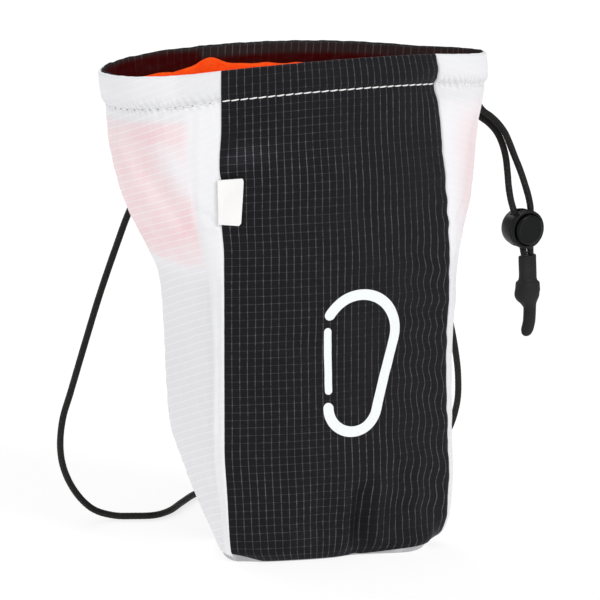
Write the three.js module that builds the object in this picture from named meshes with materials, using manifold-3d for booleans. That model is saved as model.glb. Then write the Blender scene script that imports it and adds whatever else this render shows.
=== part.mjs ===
import * as THREE from "three";
import { mergeVertices } from "three/addons/utils/BufferGeometryUtils.js";
import Module from "manifold-3d";

// A climbing chalk bag standing open on its base, front towards -Y, millimetres, +Z up.
// Four ripstop panels and a base make the bag, with a hem at the mouth that holds the drawcord.
// A black facing and a fleece cup line it, and a thin waist cord loops out of a tunnel on the back.

// The bag
const BAG_HEIGHT = 201; // floor to the rim at the front seams
const PANEL_WIDTH = 96; // front panel, seam to seam
const BODY_DEPTH = 57; // front seams to back seams
const MOUTH_FLARE = 40; // pull of the side panels outwards at the mouth
const PANEL_BULGE = 11; // how far the front stands forward of its seams at the mouth
const RIM_SWAY = 4; // dip of the rim at the tips of the mouth
const FOLD_DEPTH = 3; // deepest fold in the cloth
const CLOTH = 1.2; // wall of the ripstop panels
const SEAM_GAP = 0.5; // slit between two panels, along the cloth
const CLEARANCE = 0.3; // air between pieces that lie on each other

// Base, hem, facing and lining
const BASE_LIP = 2.5; // turned-up edge of the base
const BASE_FLOOR = 1.2;
const HEM_HEIGHT = 12;
const HEM_PUFF = 1.2; // how far the drawcord channel stands proud of the panels
const FACING_HEIGHT = 22;
const FACING_CLOTH = 1;
const LINING_DROP = 8; // lining edge below the rim
const LINING_RISE = 3; // loose fold that stands up from that edge
const FLEECE = 2;
const LINING_EASE = 0.5; // air between the facing and the lining, which hangs loose

// Tag in the front left seam
const TAG_WIDTH = 10.3;
const TAG_LAP = 1.7; // how far it stands out over the side panel, past the seam
const TAG_HEIGHT = 18.8;
const TAG_THICKNESS = 1;
const TAG_DROP = 43.5; // top of the tag below the rim

// Tunnel for the waist cord, on the back
const TUNNEL_WIDTH = 40;
const TUNNEL_HEIGHT = 18;
const TUNNEL_DROP = 35; // middle of the tunnel below the rim
const TUNNEL_ROOM = 4.3; // hollow depth between panel and webbing
const WEBBING = 1.2;

// Cords
const CORD_WIDTH = 2.8;
const CORD_SIDES = 8;
const CORD_STEP = 7.6;

// Cord lock: a round barrel with a sprung button
const LOCK_YAW = THREE.MathUtils.degToRad(11);
const BARREL_WIDTH = 15.9;
const BARREL_DEPTH = 10.2;
const BARREL_FLOOR = 1;
const BUTTON_WIDTH = 12.4;
const BUTTON_FIT = 0.2; // air around the button
const BUTTON_PROUD = 1.4;
const BUTTON_TRAVEL = 2;
const BUTTON_TAIL = 1; // web behind the cords
const BUTTON_LINE = 0.35; // moulded line across its face
const SLOT_WIDTH = 10.6; // across both cords
const SLOT_DEPTH = 4.1; // middle of the cords behind the barrel's front
const SLOT_FIT = 0.35;

// Rubber end of the drawcord
const CORD_END_LENGTH = 33.7;
const CORD_END_WIDTH = 10;

// Seam corners of the sections: up is a share of the bag's height, every x a share of half the
// panel width, every y a share of half the body depth. Corners run front left, front right,
// back right, back left.
const SEAM_COLUMNS = ["up", "flX", "flY", "frX", "frY", "brX", "brY", "blX", "blY"];
const SEAMS = [
  [0.0, -0.84, -0.86, 0.86, -0.86, 0.64, 0.33, -0.66, 0.33],
  [0.025, -0.93, -0.93, 0.99, -0.93, 0.76, 0.44, -0.75, 0.44],
  [0.06, -0.95, -0.96, 1.03, -0.96, 0.86, 0.51, -0.84, 0.51],
  [0.134, -0.97, -0.98, 1.04, -0.98, 0.95, 0.61, -0.96, 0.61],
  [0.244, -1.0, -1.0, 1.02, -1.0, 0.99, 0.89, -1.05, 0.96],
  [0.398, -1.0, -1.0, 1.0, -1.0, 0.99, 0.93, -1.08, 1.0],
  [0.547, -1.0, -1.0, 1.01, -1.0, 0.99, 0.89, -1.1, 1.0],
  [0.627, -1.0, -1.0, 1.0, -1.0, 0.99, 0.79, -1.1, 1.0],
  [0.697, -1.01, -1.0, 0.98, -1.01, 0.99, 0.61, -1.1, 0.98],
  [0.761, -1.01, -1.0, 0.96, -1.02, 1.0, 0.44, -1.1, 0.96],
  [0.846, -1.02, -1.0, 0.92, -1.05, 1.01, 0.23, -1.1, 0.93],
  [0.935, -1.02, -1.0, 0.89, -1.08, 1.03, 0.02, -1.09, 0.86],
  [1.0, -1.02, -1.0, 0.86, -1.11, 1.03, -0.11, -1.09, 0.82],
];

// Swell of the front and back panels, shares of the panel bulge, and pull of the side panels away
// from each seam, x a share of the mouth flare and y of the body depth.
const SWELL_COLUMNS = ["up", "front", "back", "flX", "flY", "blX", "blY", "frX", "frY", "brX", "brY"];
const SWELLS = [
  [0.0, 0.64, 0.36, -0.2, 0.09, -0.12, -0.05, 0.2, 0.09, 0.12, -0.05],
  [0.025, 0.64, 0.36, -0.09, 0.15, -0.1, -0.09, 0.2, 0.12, 0.12, -0.09],
  [0.06, 0.64, 0.45, -0.12, 0.14, -0.07, -0.14, 0.23, 0.14, 0.17, -0.14],
  [0.134, 0.64, 0.45, -0.18, 0.12, -0.05, -0.16, 0.25, 0.14, 0.17, -0.18],
  [0.244, 0.73, 0.45, -0.22, 0.12, -0.05, -0.25, 0.28, 0.14, 0.17, -0.21],
  [0.398, 0.73, 0.45, -0.22, 0.14, -0.05, -0.25, 0.33, 0.14, 0.15, -0.23],
  [0.547, 0.73, 0.45, -0.26, 0.22, -0.28, -0.21, 0.38, 0.16, 0.2, -0.21],
  [0.627, 0.82, 0.36, -0.48, 0.23, -0.58, -0.14, 0.5, 0.18, 0.35, -0.21],
  [0.697, 0.82, 0.36, -0.66, 0.21, -0.86, -0.11, 0.62, 0.16, 0.5, -0.23],
  [0.761, 0.91, 0.36, -0.8, 0.21, -1.03, -0.09, 0.65, 0.12, 0.6, -0.23],
  [0.846, 0.91, 0.45, -0.9, 0.21, -1.15, -0.05, 0.7, 0.07, 0.65, -0.23],
  [0.935, 1.0, 0.55, -0.93, 0.21, -1.25, -0.02, 0.76, 0.0, 0.71, -0.21],
  [1.0, 1.0, 0.55, -0.97, 0.21, -1.4, 0.0, 0.76, -0.02, 0.73, -0.19],
];

// Rise of the rim over the ends and the middle of each panel, shares of the rim sway.
const RIM_RISE = {
  front: { start: 0, middle: 0.55, end: 0 },
  right: { start: 0, middle: -0.3, end: -0.75 },
  back: { start: -0.75, middle: 0.25, end: -0.5 },
  left: { start: -0.5, middle: -1, end: 0 },
};
const SWAY_STARTS = 0.6; // share of the height where the rim's sway dies out

// Dents and ridges: across is a share of the panel from its start, up a share of the height,
// the half sizes are shares of the same, lean moves the fold across as it climbs, and depth is a
// share of the fold depth, inwards.
const FOLD_COLUMNS = ["panel", "across", "up", "halfAcross", "halfUp", "lean", "depth"];
const FOLDS = [
  ["left", 0.74, 0.76, 0.09, 0.16, -0.9, 0.8],
  ["left", 0.6, 0.72, 0.08, 0.14, -0.9, -0.5],
  ["left", 0.45, 0.4, 0.25, 0.22, 0, 0.6],
  ["right", 0.3, 0.8, 0.1, 0.14, 0.8, 0.6],
  ["right", 0.5, 0.38, 0.25, 0.2, 0, 0.5],
  ["front", 0.57, 0.02, 0.08, 0.05, 0, 0.6],
  ["front", 0.3, 0.72, 0.12, 0.2, 0.25, 0.25],
  ["back", 0.5, 0.45, 0.22, 0.2, 0, 0.9],
];

// Where the lining stands up, on the back panel near its left end.
const LINING_FOLD = { panel: "back", across: 0.77, halfAcross: 0.12 };

// Hem profile: up is a share of the hem's height, puff of how far it stands proud.
const HEM_PROFILE = [
  { up: 0, puff: 0 },
  { up: 0.12, puff: 0.85 },
  { up: 0.5, puff: 1 },
  { up: 0.88, puff: 0.8 },
  { up: 1, puff: 0.1 },
];

// Sections of the rubber end: drop is a share of its length, the rest shares of its width.
const CORD_END_SECTIONS = [
  { drop: 0, shift: 0, halfWidth: 0.36, halfDepth: 0.23 },
  { drop: 0.257, shift: 0.03, halfWidth: 0.36, halfDepth: 0.25 },
  { drop: 0.32, shift: 0.03, halfWidth: 0.46, halfDepth: 0.38 },
  { drop: 0.4, shift: 0.02, halfWidth: 0.48, halfDepth: 0.42 },
  { drop: 0.481, shift: 0, halfWidth: 0.5, halfDepth: 0.42 },
  { drop: 0.565, shift: 0.02, halfWidth: 0.38, halfDepth: 0.32 },
  { drop: 0.654, shift: 0.15, halfWidth: 0.27, halfDepth: 0.25 },
  { drop: 0.8, shift: 0.12, halfWidth: 0.26, halfDepth: 0.25 },
  { drop: 0.9, shift: 0.04, halfWidth: 0.27, halfDepth: 0.25 },
  { drop: 0.97, shift: -0.01, halfWidth: 0.19, halfDepth: 0.19 },
  { drop: 1, shift: -0.03, halfWidth: 0.08, halfDepth: 0.08 },
];

// Routes of the cords, chosen by hand, in the bag's own frame: x and y from the middle of the
// front and the depth, z from the floor.
const LOCK_AT = new THREE.Vector3(89.5, -15.5, 123.9); // middle of the barrel's front
const CORD_END_AT = new THREE.Vector3(91.1, -11, 112.3); // top of the rubber end
const INNER_STRAND = [
  [60, -3.9, 191.9], [61.3, -2.4, 189.8], [62.8, -1.2, 186.6], [64.8, -0.2, 182.6], [67.4, 0.4, 178.2],
  [70.4, 0.2, 173.4], [74.2, -0.4, 169.2], [77.7, -1.2, 166.4], [80.7, -2.4, 162.8], [82.5, -4.1, 158.3],
  [83.2, -6.4, 152.9], [83, -8.8, 147], [82.8, -10.5, 141.6], [83.2, -11.7, 136.4], [84.4, -12.2, 131.6],
  [86.3, -11.9, 126], [87.7, -11.6, 120], [88.8, -11.4, 116], [89.5, -11.3, 112.8],
];
const OUTER_STRAND = [
  [63.9, -6.7, 193.2], [65.2, -5.2, 190.9], [66.6, -4, 187.6], [68.1, -3.3, 183.6], [70, -3, 179.4],
  [72.1, -2.9, 175.2], [74.6, -3.1, 171.8], [77.7, -3.9, 169.4], [80.6, -4.9, 166.3], [83, -6.1, 162.6],
  [84.7, -7.3, 158], [86.4, -8.3, 153], [88.4, -9.2, 147.5], [90.2, -10, 141.7], [91.7, -10.7, 135.9],
  [92.4, -11, 131], [92.3, -10.8, 126], [92.3, -10.8, 120], [92.4, -10.8, 116], [92.6, -10.7, 112.8],
];
const WAIST_CORD = [
  [-3, 24.7, 166.7], [-11.2, 26, 166.6], [-19, 27.2, 166.4], [-27, 28.5, 165.8], [-37, 30.8, 163],
  [-47.5, 33, 156.5], [-57, 34.2, 146.5], [-64, 34.5, 134.4], [-68.7, 37, 120.2], [-74.7, 41, 99.3],
  [-79.7, 45, 78.9], [-84.6, 49, 58.1], [-87.4, 51.4, 46], [-87.6, 54, 33.8], [-84.8, 57, 23],
  [-79, 59.6, 12.6], [-71.5, 60.6, 4.8], [-63.5, 58.2, 1.8], [-55.5, 54.4, 1.6], [-47, 52.6, 1.6],
  [-38.5, 57.5, 1.6], [-29, 68.5, 1.6], [-17, 81, 1.6], [0, 90, 1.6], [22, 94, 1.6], [44, 92.5, 1.6],
  [65, 85.5, 2.2], [81, 76.5, 8.5], [89.8, 69.5, 19], [93.2, 65.5, 32], [92.7, 62.5, 45],
  [89.3, 58.5, 60], [83, 53, 80], [75, 46, 102], [66, 38.5, 124], [56.5, 31.5, 143],
  [45.5, 24.5, 157], [34.5, 19.4, 164.6], [24.5, 18.8, 166.2], [16.5, 20.4, 166.3],
  [9.2, 22.2, 166.6], [1, 23.9, 166.7],
];

// Steps around each panel, and levels from the base lip to the hem.
const PANEL_STEPS = { front: 10, right: 13, back: 10, left: 13 };
const LEVELS = 14;
const LEVEL_EASE = 1.3; // closer levels near the base
const SLOPE_STEP = 0.01; // share of a panel used to find which way its cloth faces

const COLOURS = {
  blackCloth: 0x222225,
  whiteCloth: 0xf2f0ef,
  fleece: 0xf2561d,
  facing: 0x2a1f20,
  tag: 0xf6f6f4,
  webbing: 0x1d1d1f,
  cord: 0x1c1c1d,
  lock: 0x26282b,
  button: 0x2c2e31,
  rubber: 0x323233,
};

const wasm = await Module();
wasm.setup();

function cloth(colour, roughness = 0.75) {
  return new THREE.MeshStandardMaterial({ color: colour, roughness, metalness: 0 });
}

function piece(name, geometry, material) {
  const mesh = new THREE.Mesh(geometry, material);
  mesh.name = name;
  return mesh;
}

// Smooth value of one column of a table at a share of the height, without overshoot.
function columnAt(table, column, up) {
  const last = table.length - 2;
  let row = 0;
  while (row < last && up > table[row + 1][0]) row += 1;
  const slope = (k) => (table[k + 1][column] - table[k][column]) / (table[k + 1][0] - table[k][0]);
  const tangent = (k) => {
    if (k === 0) return slope(0);
    if (k === table.length - 1) return slope(k - 1);
    const before = slope(k - 1);
    const after = slope(k);
    return before * after > 0 ? (2 * before * after) / (before + after) : 0;
  };
  const span = table[row + 1][0] - table[row][0];
  const t = (up - table[row][0]) / span;
  const from = table[row][column] * (1 + 2 * t) * (1 - t) ** 2 + tangent(row) * span * t * (1 - t) ** 2;
  const to = table[row + 1][column] * t * t * (3 - 2 * t) + tangent(row + 1) * span * t * t * (t - 1);
  return from + to;
}

function rowAt(table, columns, up) {
  return Object.fromEntries(columns.map((name, column) => [name, columnAt(table, column, up)]));
}

// Four-point curve of a side panel between two seams.
function sweep(start, startPull, endPull, end, t) {
  const weights = [(1 - t) ** 3, 3 * t * (1 - t) ** 2, 3 * t * t * (1 - t), t ** 3];
  const points = [start, start.clone().add(startPull), end.clone().add(endPull), end];
  return points.reduce((sum, point, k) => sum.addScaledVector(point, weights[k]), new THREE.Vector2());
}

// Panel with a chord from seam to seam and an even swell to its right-hand side.
function swell(start, end, depth, t) {
  const along = end.clone().sub(start);
  const outward = new THREE.Vector2(along.y, -along.x).normalize();
  return start.clone().addScaledVector(along, t).addScaledVector(outward, 4 * depth * t * (1 - t));
}

// Place on a panel's outer face before its folds: across runs anticlockwise seen from above.
function plainPoint(panel, across, height) {
  const up = height / BAG_HEIGHT;
  const seams = rowAt(SEAMS, SEAM_COLUMNS, up);
  const swells = rowAt(SWELLS, SWELL_COLUMNS, up);
  const corner = (key) =>
    new THREE.Vector2((seams[`${key}X`] * PANEL_WIDTH) / 2, (seams[`${key}Y`] * BODY_DEPTH) / 2);
  const pull = (key) => new THREE.Vector2(swells[`${key}X`] * MOUTH_FLARE, swells[`${key}Y`] * BODY_DEPTH);
  if (panel === "front") return swell(corner("fl"), corner("fr"), swells.front * PANEL_BULGE, across);
  if (panel === "back") return swell(corner("br"), corner("bl"), swells.back * PANEL_BULGE, across);
  if (panel === "right") return sweep(corner("fr"), pull("fr"), pull("br"), corner("br"), across);
  return sweep(corner("bl"), pull("bl"), pull("fl"), corner("fl"), across);
}

function facingOut(panel, across, height) {
  const before = plainPoint(panel, Math.max(across - SLOPE_STEP, 0), height);
  const after = plainPoint(panel, Math.min(across + SLOPE_STEP, 1), height);
  return new THREE.Vector2(after.y - before.y, before.x - after.x).normalize();
}

function foldDepth(panel, across, height) {
  let depth = 0;
  for (const values of FOLDS) {
    const fold = Object.fromEntries(FOLD_COLUMNS.map((name, k) => [name, values[k]]));
    if (fold.panel !== panel) continue;
    const rise = height / BAG_HEIGHT - fold.up;
    const aside = (across - fold.across - fold.lean * rise) / fold.halfAcross;
    depth += fold.depth * Math.exp(-(aside ** 2) - (rise / fold.halfUp) ** 2);
  }
  const fade = Math.sin(Math.PI * across); // a fold dies out towards the seams
  return depth * FOLD_DEPTH * fade;
}

function rimLift(panel, across, height) {
  const { start, middle, end } = RIM_RISE[panel];
  const share = THREE.MathUtils.smoothstep(height / BAG_HEIGHT, SWAY_STARTS, 1 - HEM_HEIGHT / BAG_HEIGHT);
  const arch = middle - (start + end) / 2;
  return RIM_SWAY * share * (start * (1 - across) + end * across + 4 * arch * across * (1 - across));
}

// Place on or off a panel's outer face, with its folds.
function clothPoint(panel, across, height, outward = 0) {
  const flat = plainPoint(panel, across, height);
  flat.addScaledVector(facingOut(panel, across, height), outward - foldDepth(panel, across, height));
  return new THREE.Vector3(flat.x, flat.y, height + rimLift(panel, across, height));
}

// The closed outline of all four panels at one height, with the way each point is set in or out.
const outlines = new Map();
function outlineAt(height) {
  if (outlines.has(height)) return outlines.get(height);
  const points = [];
  const spans = {};
  for (const [panel, steps] of Object.entries(PANEL_STEPS)) {
    spans[panel] = Array.from({ length: steps + 1 }, (_, k) => points.length + k);
    for (let k = 0; k < steps; k += 1) points.push(clothPoint(panel, k / steps, height));
  }
  const count = points.length;
  const edgeNormal = (from, to) => new THREE.Vector2(to.y - from.y, from.x - to.x).normalize();
  const mitres = points.map((point, k) => {
    const before = edgeNormal(points[(k + count - 1) % count], point);
    const after = edgeNormal(point, points[(k + 1) % count]);
    return before.clone().add(after).divideScalar(1 + before.dot(after));
  });
  const place = (index, outward) => {
    const k = index % count;
    const { x, y, z } = points[k];
    return new THREE.Vector3(x + mitres[k].x * outward, y + mitres[k].y * outward, z);
  };
  const outline = { count, spans, place };
  outlines.set(height, outline);
  return outline;
}

// A closed body from loops of points stacked one on another. The ends are closed by a fan, or by a
// strip between the two long sides of a loop, or the last loop joins the first.
function bodyFromLoops(loops, ends) {
  const size = loops[0].length;
  const points = loops.flat();
  const faces = [];
  const bands = ends === "joined" ? loops.length : loops.length - 1;
  for (let band = 0; band < bands; band += 1) {
    const low = band * size;
    const high = ((band + 1) % loops.length) * size;
    for (let k = 0; k < size; k += 1) {
      const next = (k + 1) % size;
      faces.push([low + k, low + next, high + next], [low + k, high + next, high + k]);
    }
  }
  const top = (loops.length - 1) * size;
  if (ends === "fan") {
    for (const [first, loop] of [[0, loops[0]], [top, loops.at(-1)]]) {
      const middle = loop.reduce((sum, point) => sum.add(point), new THREE.Vector3()).divideScalar(size);
      points.push(middle);
      for (let k = 0; k < size; k += 1) {
        const edge = [first + k, first + ((k + 1) % size)];
        if (first === 0) edge.reverse();
        faces.push([points.length - 1, ...edge]);
      }
    }
  }
  if (ends === "strip") {
    for (let k = 0; k < size / 2 - 1; k += 1) {
      const [a, b, c, d] = [k, k + 1, size - 2 - k, size - 1 - k];
      faces.push([a, c, b], [a, d, c], [top + a, top + b, top + c], [top + a, top + c, top + d]);
    }
  }
  const geometry = new THREE.BufferGeometry().setFromPoints(points);
  geometry.setIndex(faces.flat());
  geometry.computeVertexNormals();
  return geometry;
}

// Heights shared by everything that follows the panels.
const bodyBottom = BASE_LIP + CLEARANCE;
const hemBottom = BAG_HEIGHT - HEM_HEIGHT;
const facingBottom = BAG_HEIGHT - FACING_HEIGHT;
const bodyLevels = Array.from(
  { length: LEVELS },
  (_, k) => bodyBottom + (facingBottom - bodyBottom) * (k / (LEVELS - 1)) ** LEVEL_EASE,
);
const hemLevels = HEM_PROFILE.map(({ up, puff }) => ({
  height: hemBottom + HEM_HEIGHT * up,
  out: HEM_PUFF * puff,
}));

function panelWall(panel) {
  const levels = [...bodyLevels.map((height) => ({ height, out: 0 })), ...hemLevels];
  const loops = levels.map(({ height, out }) => {
    const outline = outlineAt(height);
    const span = outline.spans[panel];
    const outer = span.map((k) => outline.place(k, out));
    const inner = span.map((k) => outline.place(k, -CLOTH));
    for (const row of [outer, inner]) {
      const startWay = row[1].clone().sub(row[0]).setZ(0).normalize();
      const endWay = row.at(-2).clone().sub(row.at(-1)).setZ(0).normalize();
      row[0].addScaledVector(startWay, SEAM_GAP / 2);
      row.at(-1).addScaledVector(endWay, SEAM_GAP / 2);
    }
    return [...outer, ...inner.reverse()];
  });
  return bodyFromLoops(loops, "strip");
}

function ringLoop(height, outward, lift = () => 0, atHeight = null) {
  const outline = outlineAt(height);
  return Array.from({ length: outline.count }, (_, k) => {
    const point = outline.place(k, outward);
    point.z = (atHeight ?? point.z) + lift(k, outline);
    return point;
  });
}

function basePanel() {
  const round = CLOTH * 0.6; // soft lower edge
  return bodyFromLoops(
    [
      ringLoop(0, -round, undefined, 0),
      ringLoop(round, 0, undefined, round),
      ringLoop(BASE_LIP, 0, undefined, BASE_LIP),
      ringLoop(BASE_LIP, -CLOTH, undefined, BASE_LIP),
      ringLoop(BASE_FLOOR, -CLOTH - round, undefined, BASE_FLOOR),
    ],
    "fan",
  );
}

function innerFacing() {
  const outside = -CLOTH - CLEARANCE;
  const inside = outside - FACING_CLOTH;
  const heights = [facingBottom, ...hemLevels.map(({ height }) => height)];
  const outer = heights.map((height) => ringLoop(height, outside));
  const inner = heights.map((height) => ringLoop(height, inside)).reverse();
  return bodyFromLoops([...outer, ...inner], "joined");
}

function liningCup() {
  const outside = -CLOTH - CLEARANCE - FACING_CLOTH - LINING_EASE;
  const inside = outside - FLEECE;
  const floorUnder = BASE_FLOOR + CLEARANCE;
  const top = BAG_HEIGHT - LINING_DROP;
  const inHem = hemLevels.map(({ height }) => height).filter((height) => height < top);
  const heights = [...bodyLevels, ...inHem];
  const lift = (k, outline) => {
    const across = (k - outline.spans[LINING_FOLD.panel][0]) / PANEL_STEPS[LINING_FOLD.panel];
    return LINING_RISE * Math.exp(-(((across - LINING_FOLD.across) / LINING_FOLD.halfAcross) ** 2));
  };
  return bodyFromLoops(
    [
      ringLoop(floorUnder, outside, undefined, floorUnder),
      ...heights.map((height) => ringLoop(height, outside)),
      ringLoop(top, outside, lift),
      ringLoop(top, inside, lift),
      ...heights.slice(1).reverse().map((height) => ringLoop(height, inside)),
      ringLoop(floorUnder + FLEECE, inside, undefined, floorUnder + FLEECE),
    ],
    "fan",
  );
}

// A folded tag that comes out of the front left seam and lies on the front panel, with its fold
// a little way out over the side panel.
function seamTag() {
  const top = BAG_HEIGHT - TAG_DROP;
  const steps = 4;
  const width = (TAG_WIDTH - TAG_LAP) / PANEL_WIDTH;
  const side = (outward, height) => {
    const stride = clothPoint("left", 1, height).distanceTo(clothPoint("left", 1 - SLOPE_STEP, height));
    const lap = clothPoint("left", 1 - (TAG_LAP * SLOPE_STEP) / stride, height, outward);
    const laid = Array.from({ length: steps }, (_, k) =>
      clothPoint("front", (width * (k + 1)) / steps, height, outward),
    );
    return [lap, ...laid];
  };
  const loops = Array.from({ length: steps + 1 }, (_, k) => {
    const height = top - TAG_HEIGHT + (TAG_HEIGHT * k) / steps;
    return [...side(CLEARANCE + TAG_THICKNESS, height), ...side(CLEARANCE, height).reverse()];
  });
  return bodyFromLoops(loops, "strip");
}

// A strip of webbing sewn to the back along its two long edges, hollow behind its middle.
function beltTunnel() {
  const middle = BAG_HEIGHT - TUNNEL_DROP;
  const [edge, foot, roof] = [0.5, 0.33, 0.18].map((share) => share * TUNNEL_HEIGHT);
  const low = CLEARANCE;
  const high = CLEARANCE + TUNNEL_ROOM;
  const outer = [
    { rise: edge, out: low + WEBBING },
    { rise: foot, out: low + WEBBING },
    { rise: roof, out: high + WEBBING },
  ];
  const inner = [
    { rise: edge, out: low },
    { rise: foot - WEBBING / 2, out: low },
    { rise: roof - WEBBING / 2, out: high },
  ];
  const mirror = (rows) => rows.map(({ rise, out }) => ({ rise: -rise, out })).reverse();
  const profile = [...outer, ...mirror(outer), ...mirror(inner).reverse(), ...[...inner].reverse()];
  const width = TUNNEL_WIDTH / PANEL_WIDTH;
  const steps = 8;
  const loops = Array.from({ length: steps + 1 }, (_, k) => {
    const across = 0.5 - width / 2 + (width * k) / steps;
    return profile.map(({ rise, out }) => clothPoint("back", across, middle + rise, out));
  });
  return bodyFromLoops(loops, "strip");
}

function cordTube(route) {
  const path = new THREE.CatmullRomCurve3(route.map((point) => new THREE.Vector3(...point)));
  const corners = Array.from({ length: CORD_SIDES }, (_, k) => {
    const turn = (2 * Math.PI * k) / CORD_SIDES;
    return new THREE.Vector2(Math.cos(turn), Math.sin(turn)).multiplyScalar(CORD_WIDTH / 2);
  });
  const steps = Math.round(path.getLength() / CORD_STEP);
  return new THREE.ExtrudeGeometry(new THREE.Shape(corners), { steps, extrudePath: path });
}

function solid(geometry) {
  const bare = geometry.clone();
  bare.deleteAttribute("normal");
  bare.deleteAttribute("uv");
  const merged = mergeVertices(bare);
  const vertProperties = new Float32Array(merged.attributes.position.array);
  const triVerts = new Uint32Array(merged.index.array);
  return new wasm.Manifold(new wasm.Mesh({ numProp: 3, vertProperties, triVerts }));
}

function geometryOf(manifold) {
  const { vertProperties, triVerts } = manifold.getMesh();
  const geometry = new THREE.BufferGeometry();
  geometry.setAttribute("position", new THREE.BufferAttribute(new Float32Array(vertProperties), 3));
  geometry.setIndex(new THREE.BufferAttribute(new Uint32Array(triVerts), 1));
  geometry.computeVertexNormals();
  return geometry;
}

// Round solid about the lock's axis: y is 0 at the barrel's front and falls into it.
function turned(profile, sides = 32) {
  return solid(new THREE.LatheGeometry(profile.map(([radius, y]) => new THREE.Vector2(radius, y)), sides));
}

function block(width, low, high, tall) {
  const geometry = new THREE.BoxGeometry(width, high - low, tall);
  return solid(geometry.translate(0, (low + high) / 2, 0));
}

const cordRoom = CORD_WIDTH / 2 + SLOT_FIT;
const buttonEnd = -SLOT_DEPTH - cordRoom - BUTTON_TAIL;
const boreDepth = -buttonEnd + BUTTON_TRAVEL + CLEARANCE;

function lockBarrel() {
  const radius = BARREL_WIDTH / 2;
  const bore = BUTTON_WIDTH / 2 + BUTTON_FIT;
  const depth = boreDepth + BARREL_FLOOR;
  const body = turned([
    [0, -depth],
    [radius * 0.7, -depth],
    [radius * 0.92, -depth * 0.9],
    [radius, -BARREL_DEPTH * 0.54],
    [radius, -radius * 0.08],
    [radius * 0.94, 0],
    [0, 0],
  ]);
  const well = turned([[0, -boreDepth], [bore, -boreDepth], [bore, 1], [0, 1]]);
  const slot = block(SLOT_WIDTH, -SLOT_DEPTH - cordRoom, -SLOT_DEPTH + cordRoom, 2 * BARREL_WIDTH);
  return geometryOf(body.subtract(well).subtract(slot));
}

function lockButton() {
  const radius = BUTTON_WIDTH / 2;
  const body = turned([
    [0, buttonEnd],
    [radius, buttonEnd],
    [radius, BUTTON_PROUD * 0.5],
    [radius * 0.92, BUTTON_PROUD],
    [0, BUTTON_PROUD],
  ]);
  const slot = block(
    SLOT_WIDTH,
    -SLOT_DEPTH - cordRoom,
    -SLOT_DEPTH + cordRoom + BUTTON_TRAVEL,
    2 * BUTTON_WIDTH,
  );
  const line = block(BUTTON_WIDTH * 0.7, BUTTON_PROUD - BUTTON_LINE, BUTTON_PROUD + 1, BUTTON_LINE * 2);
  return geometryOf(body.subtract(slot).subtract(line));
}

// Flat rubber sleeve over both cord ends that swells and runs out into a thin bent tail.
function cordEnd() {
  const sides = 14;
  const loops = [...CORD_END_SECTIONS].reverse().map(({ drop, shift, halfWidth, halfDepth }) =>
    Array.from({ length: sides }, (_, k) => {
      const turn = (2 * Math.PI * k) / sides;
      const x = CORD_END_WIDTH * (shift + halfWidth * Math.cos(turn));
      return new THREE.Vector3(x, CORD_END_WIDTH * halfDepth * Math.sin(turn), -CORD_END_LENGTH * drop);
    }),
  );
  return bodyFromLoops(loops, "fan");
}

function cordLock() {
  const lock = new THREE.Group();
  lock.add(piece("lock_barrel", lockBarrel(), cloth(COLOURS.lock, 0.45)));
  lock.add(piece("lock_button", lockButton(), cloth(COLOURS.button, 0.35)));
  lock.position.copy(LOCK_AT);
  lock.rotation.z = Math.PI + LOCK_YAW;
  return lock;
}

const bag = new THREE.Group();
bag.add(piece("front_panel", panelWall("front"), cloth(COLOURS.blackCloth)));
bag.add(piece("right_side_panel", panelWall("right"), cloth(COLOURS.whiteCloth)));
bag.add(piece("back_panel", panelWall("back"), cloth(COLOURS.blackCloth)));
bag.add(piece("left_side_panel", panelWall("left"), cloth(COLOURS.whiteCloth)));
bag.add(piece("base_panel", basePanel(), cloth(COLOURS.whiteCloth)));
bag.add(piece("inner_facing", innerFacing(), cloth(COLOURS.facing)));
bag.add(piece("lining", liningCup(), cloth(COLOURS.fleece, 0.95)));
bag.add(piece("seam_tag", seamTag(), cloth(COLOURS.tag)));
bag.add(piece("belt_tunnel", beltTunnel(), cloth(COLOURS.webbing)));

const extent = new THREE.Box3().setFromObject(bag);
const middle = extent.getCenter(new THREE.Vector3());

const cords = new THREE.Group();
cords.add(piece("drawcord_inner", cordTube(INNER_STRAND), cloth(COLOURS.cord)));
cords.add(piece("drawcord_outer", cordTube(OUTER_STRAND), cloth(COLOURS.cord)));
cords.add(piece("waist_cord", cordTube(WAIST_CORD), cloth(COLOURS.cord)));
cords.add(cordLock());
const rubber = piece("cord_end", cordEnd(), cloth(COLOURS.rubber, 0.6));
rubber.position.copy(CORD_END_AT);
rubber.rotation.z = LOCK_YAW;
cords.add(rubber);

// The origin is the middle of the bag's footprint, on the floor.
const chalkBag = new THREE.Group();
chalkBag.add(bag, cords);
chalkBag.position.set(-middle.x, -middle.y, -extent.min.z);

export default chalkBag;
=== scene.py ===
import math

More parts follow.
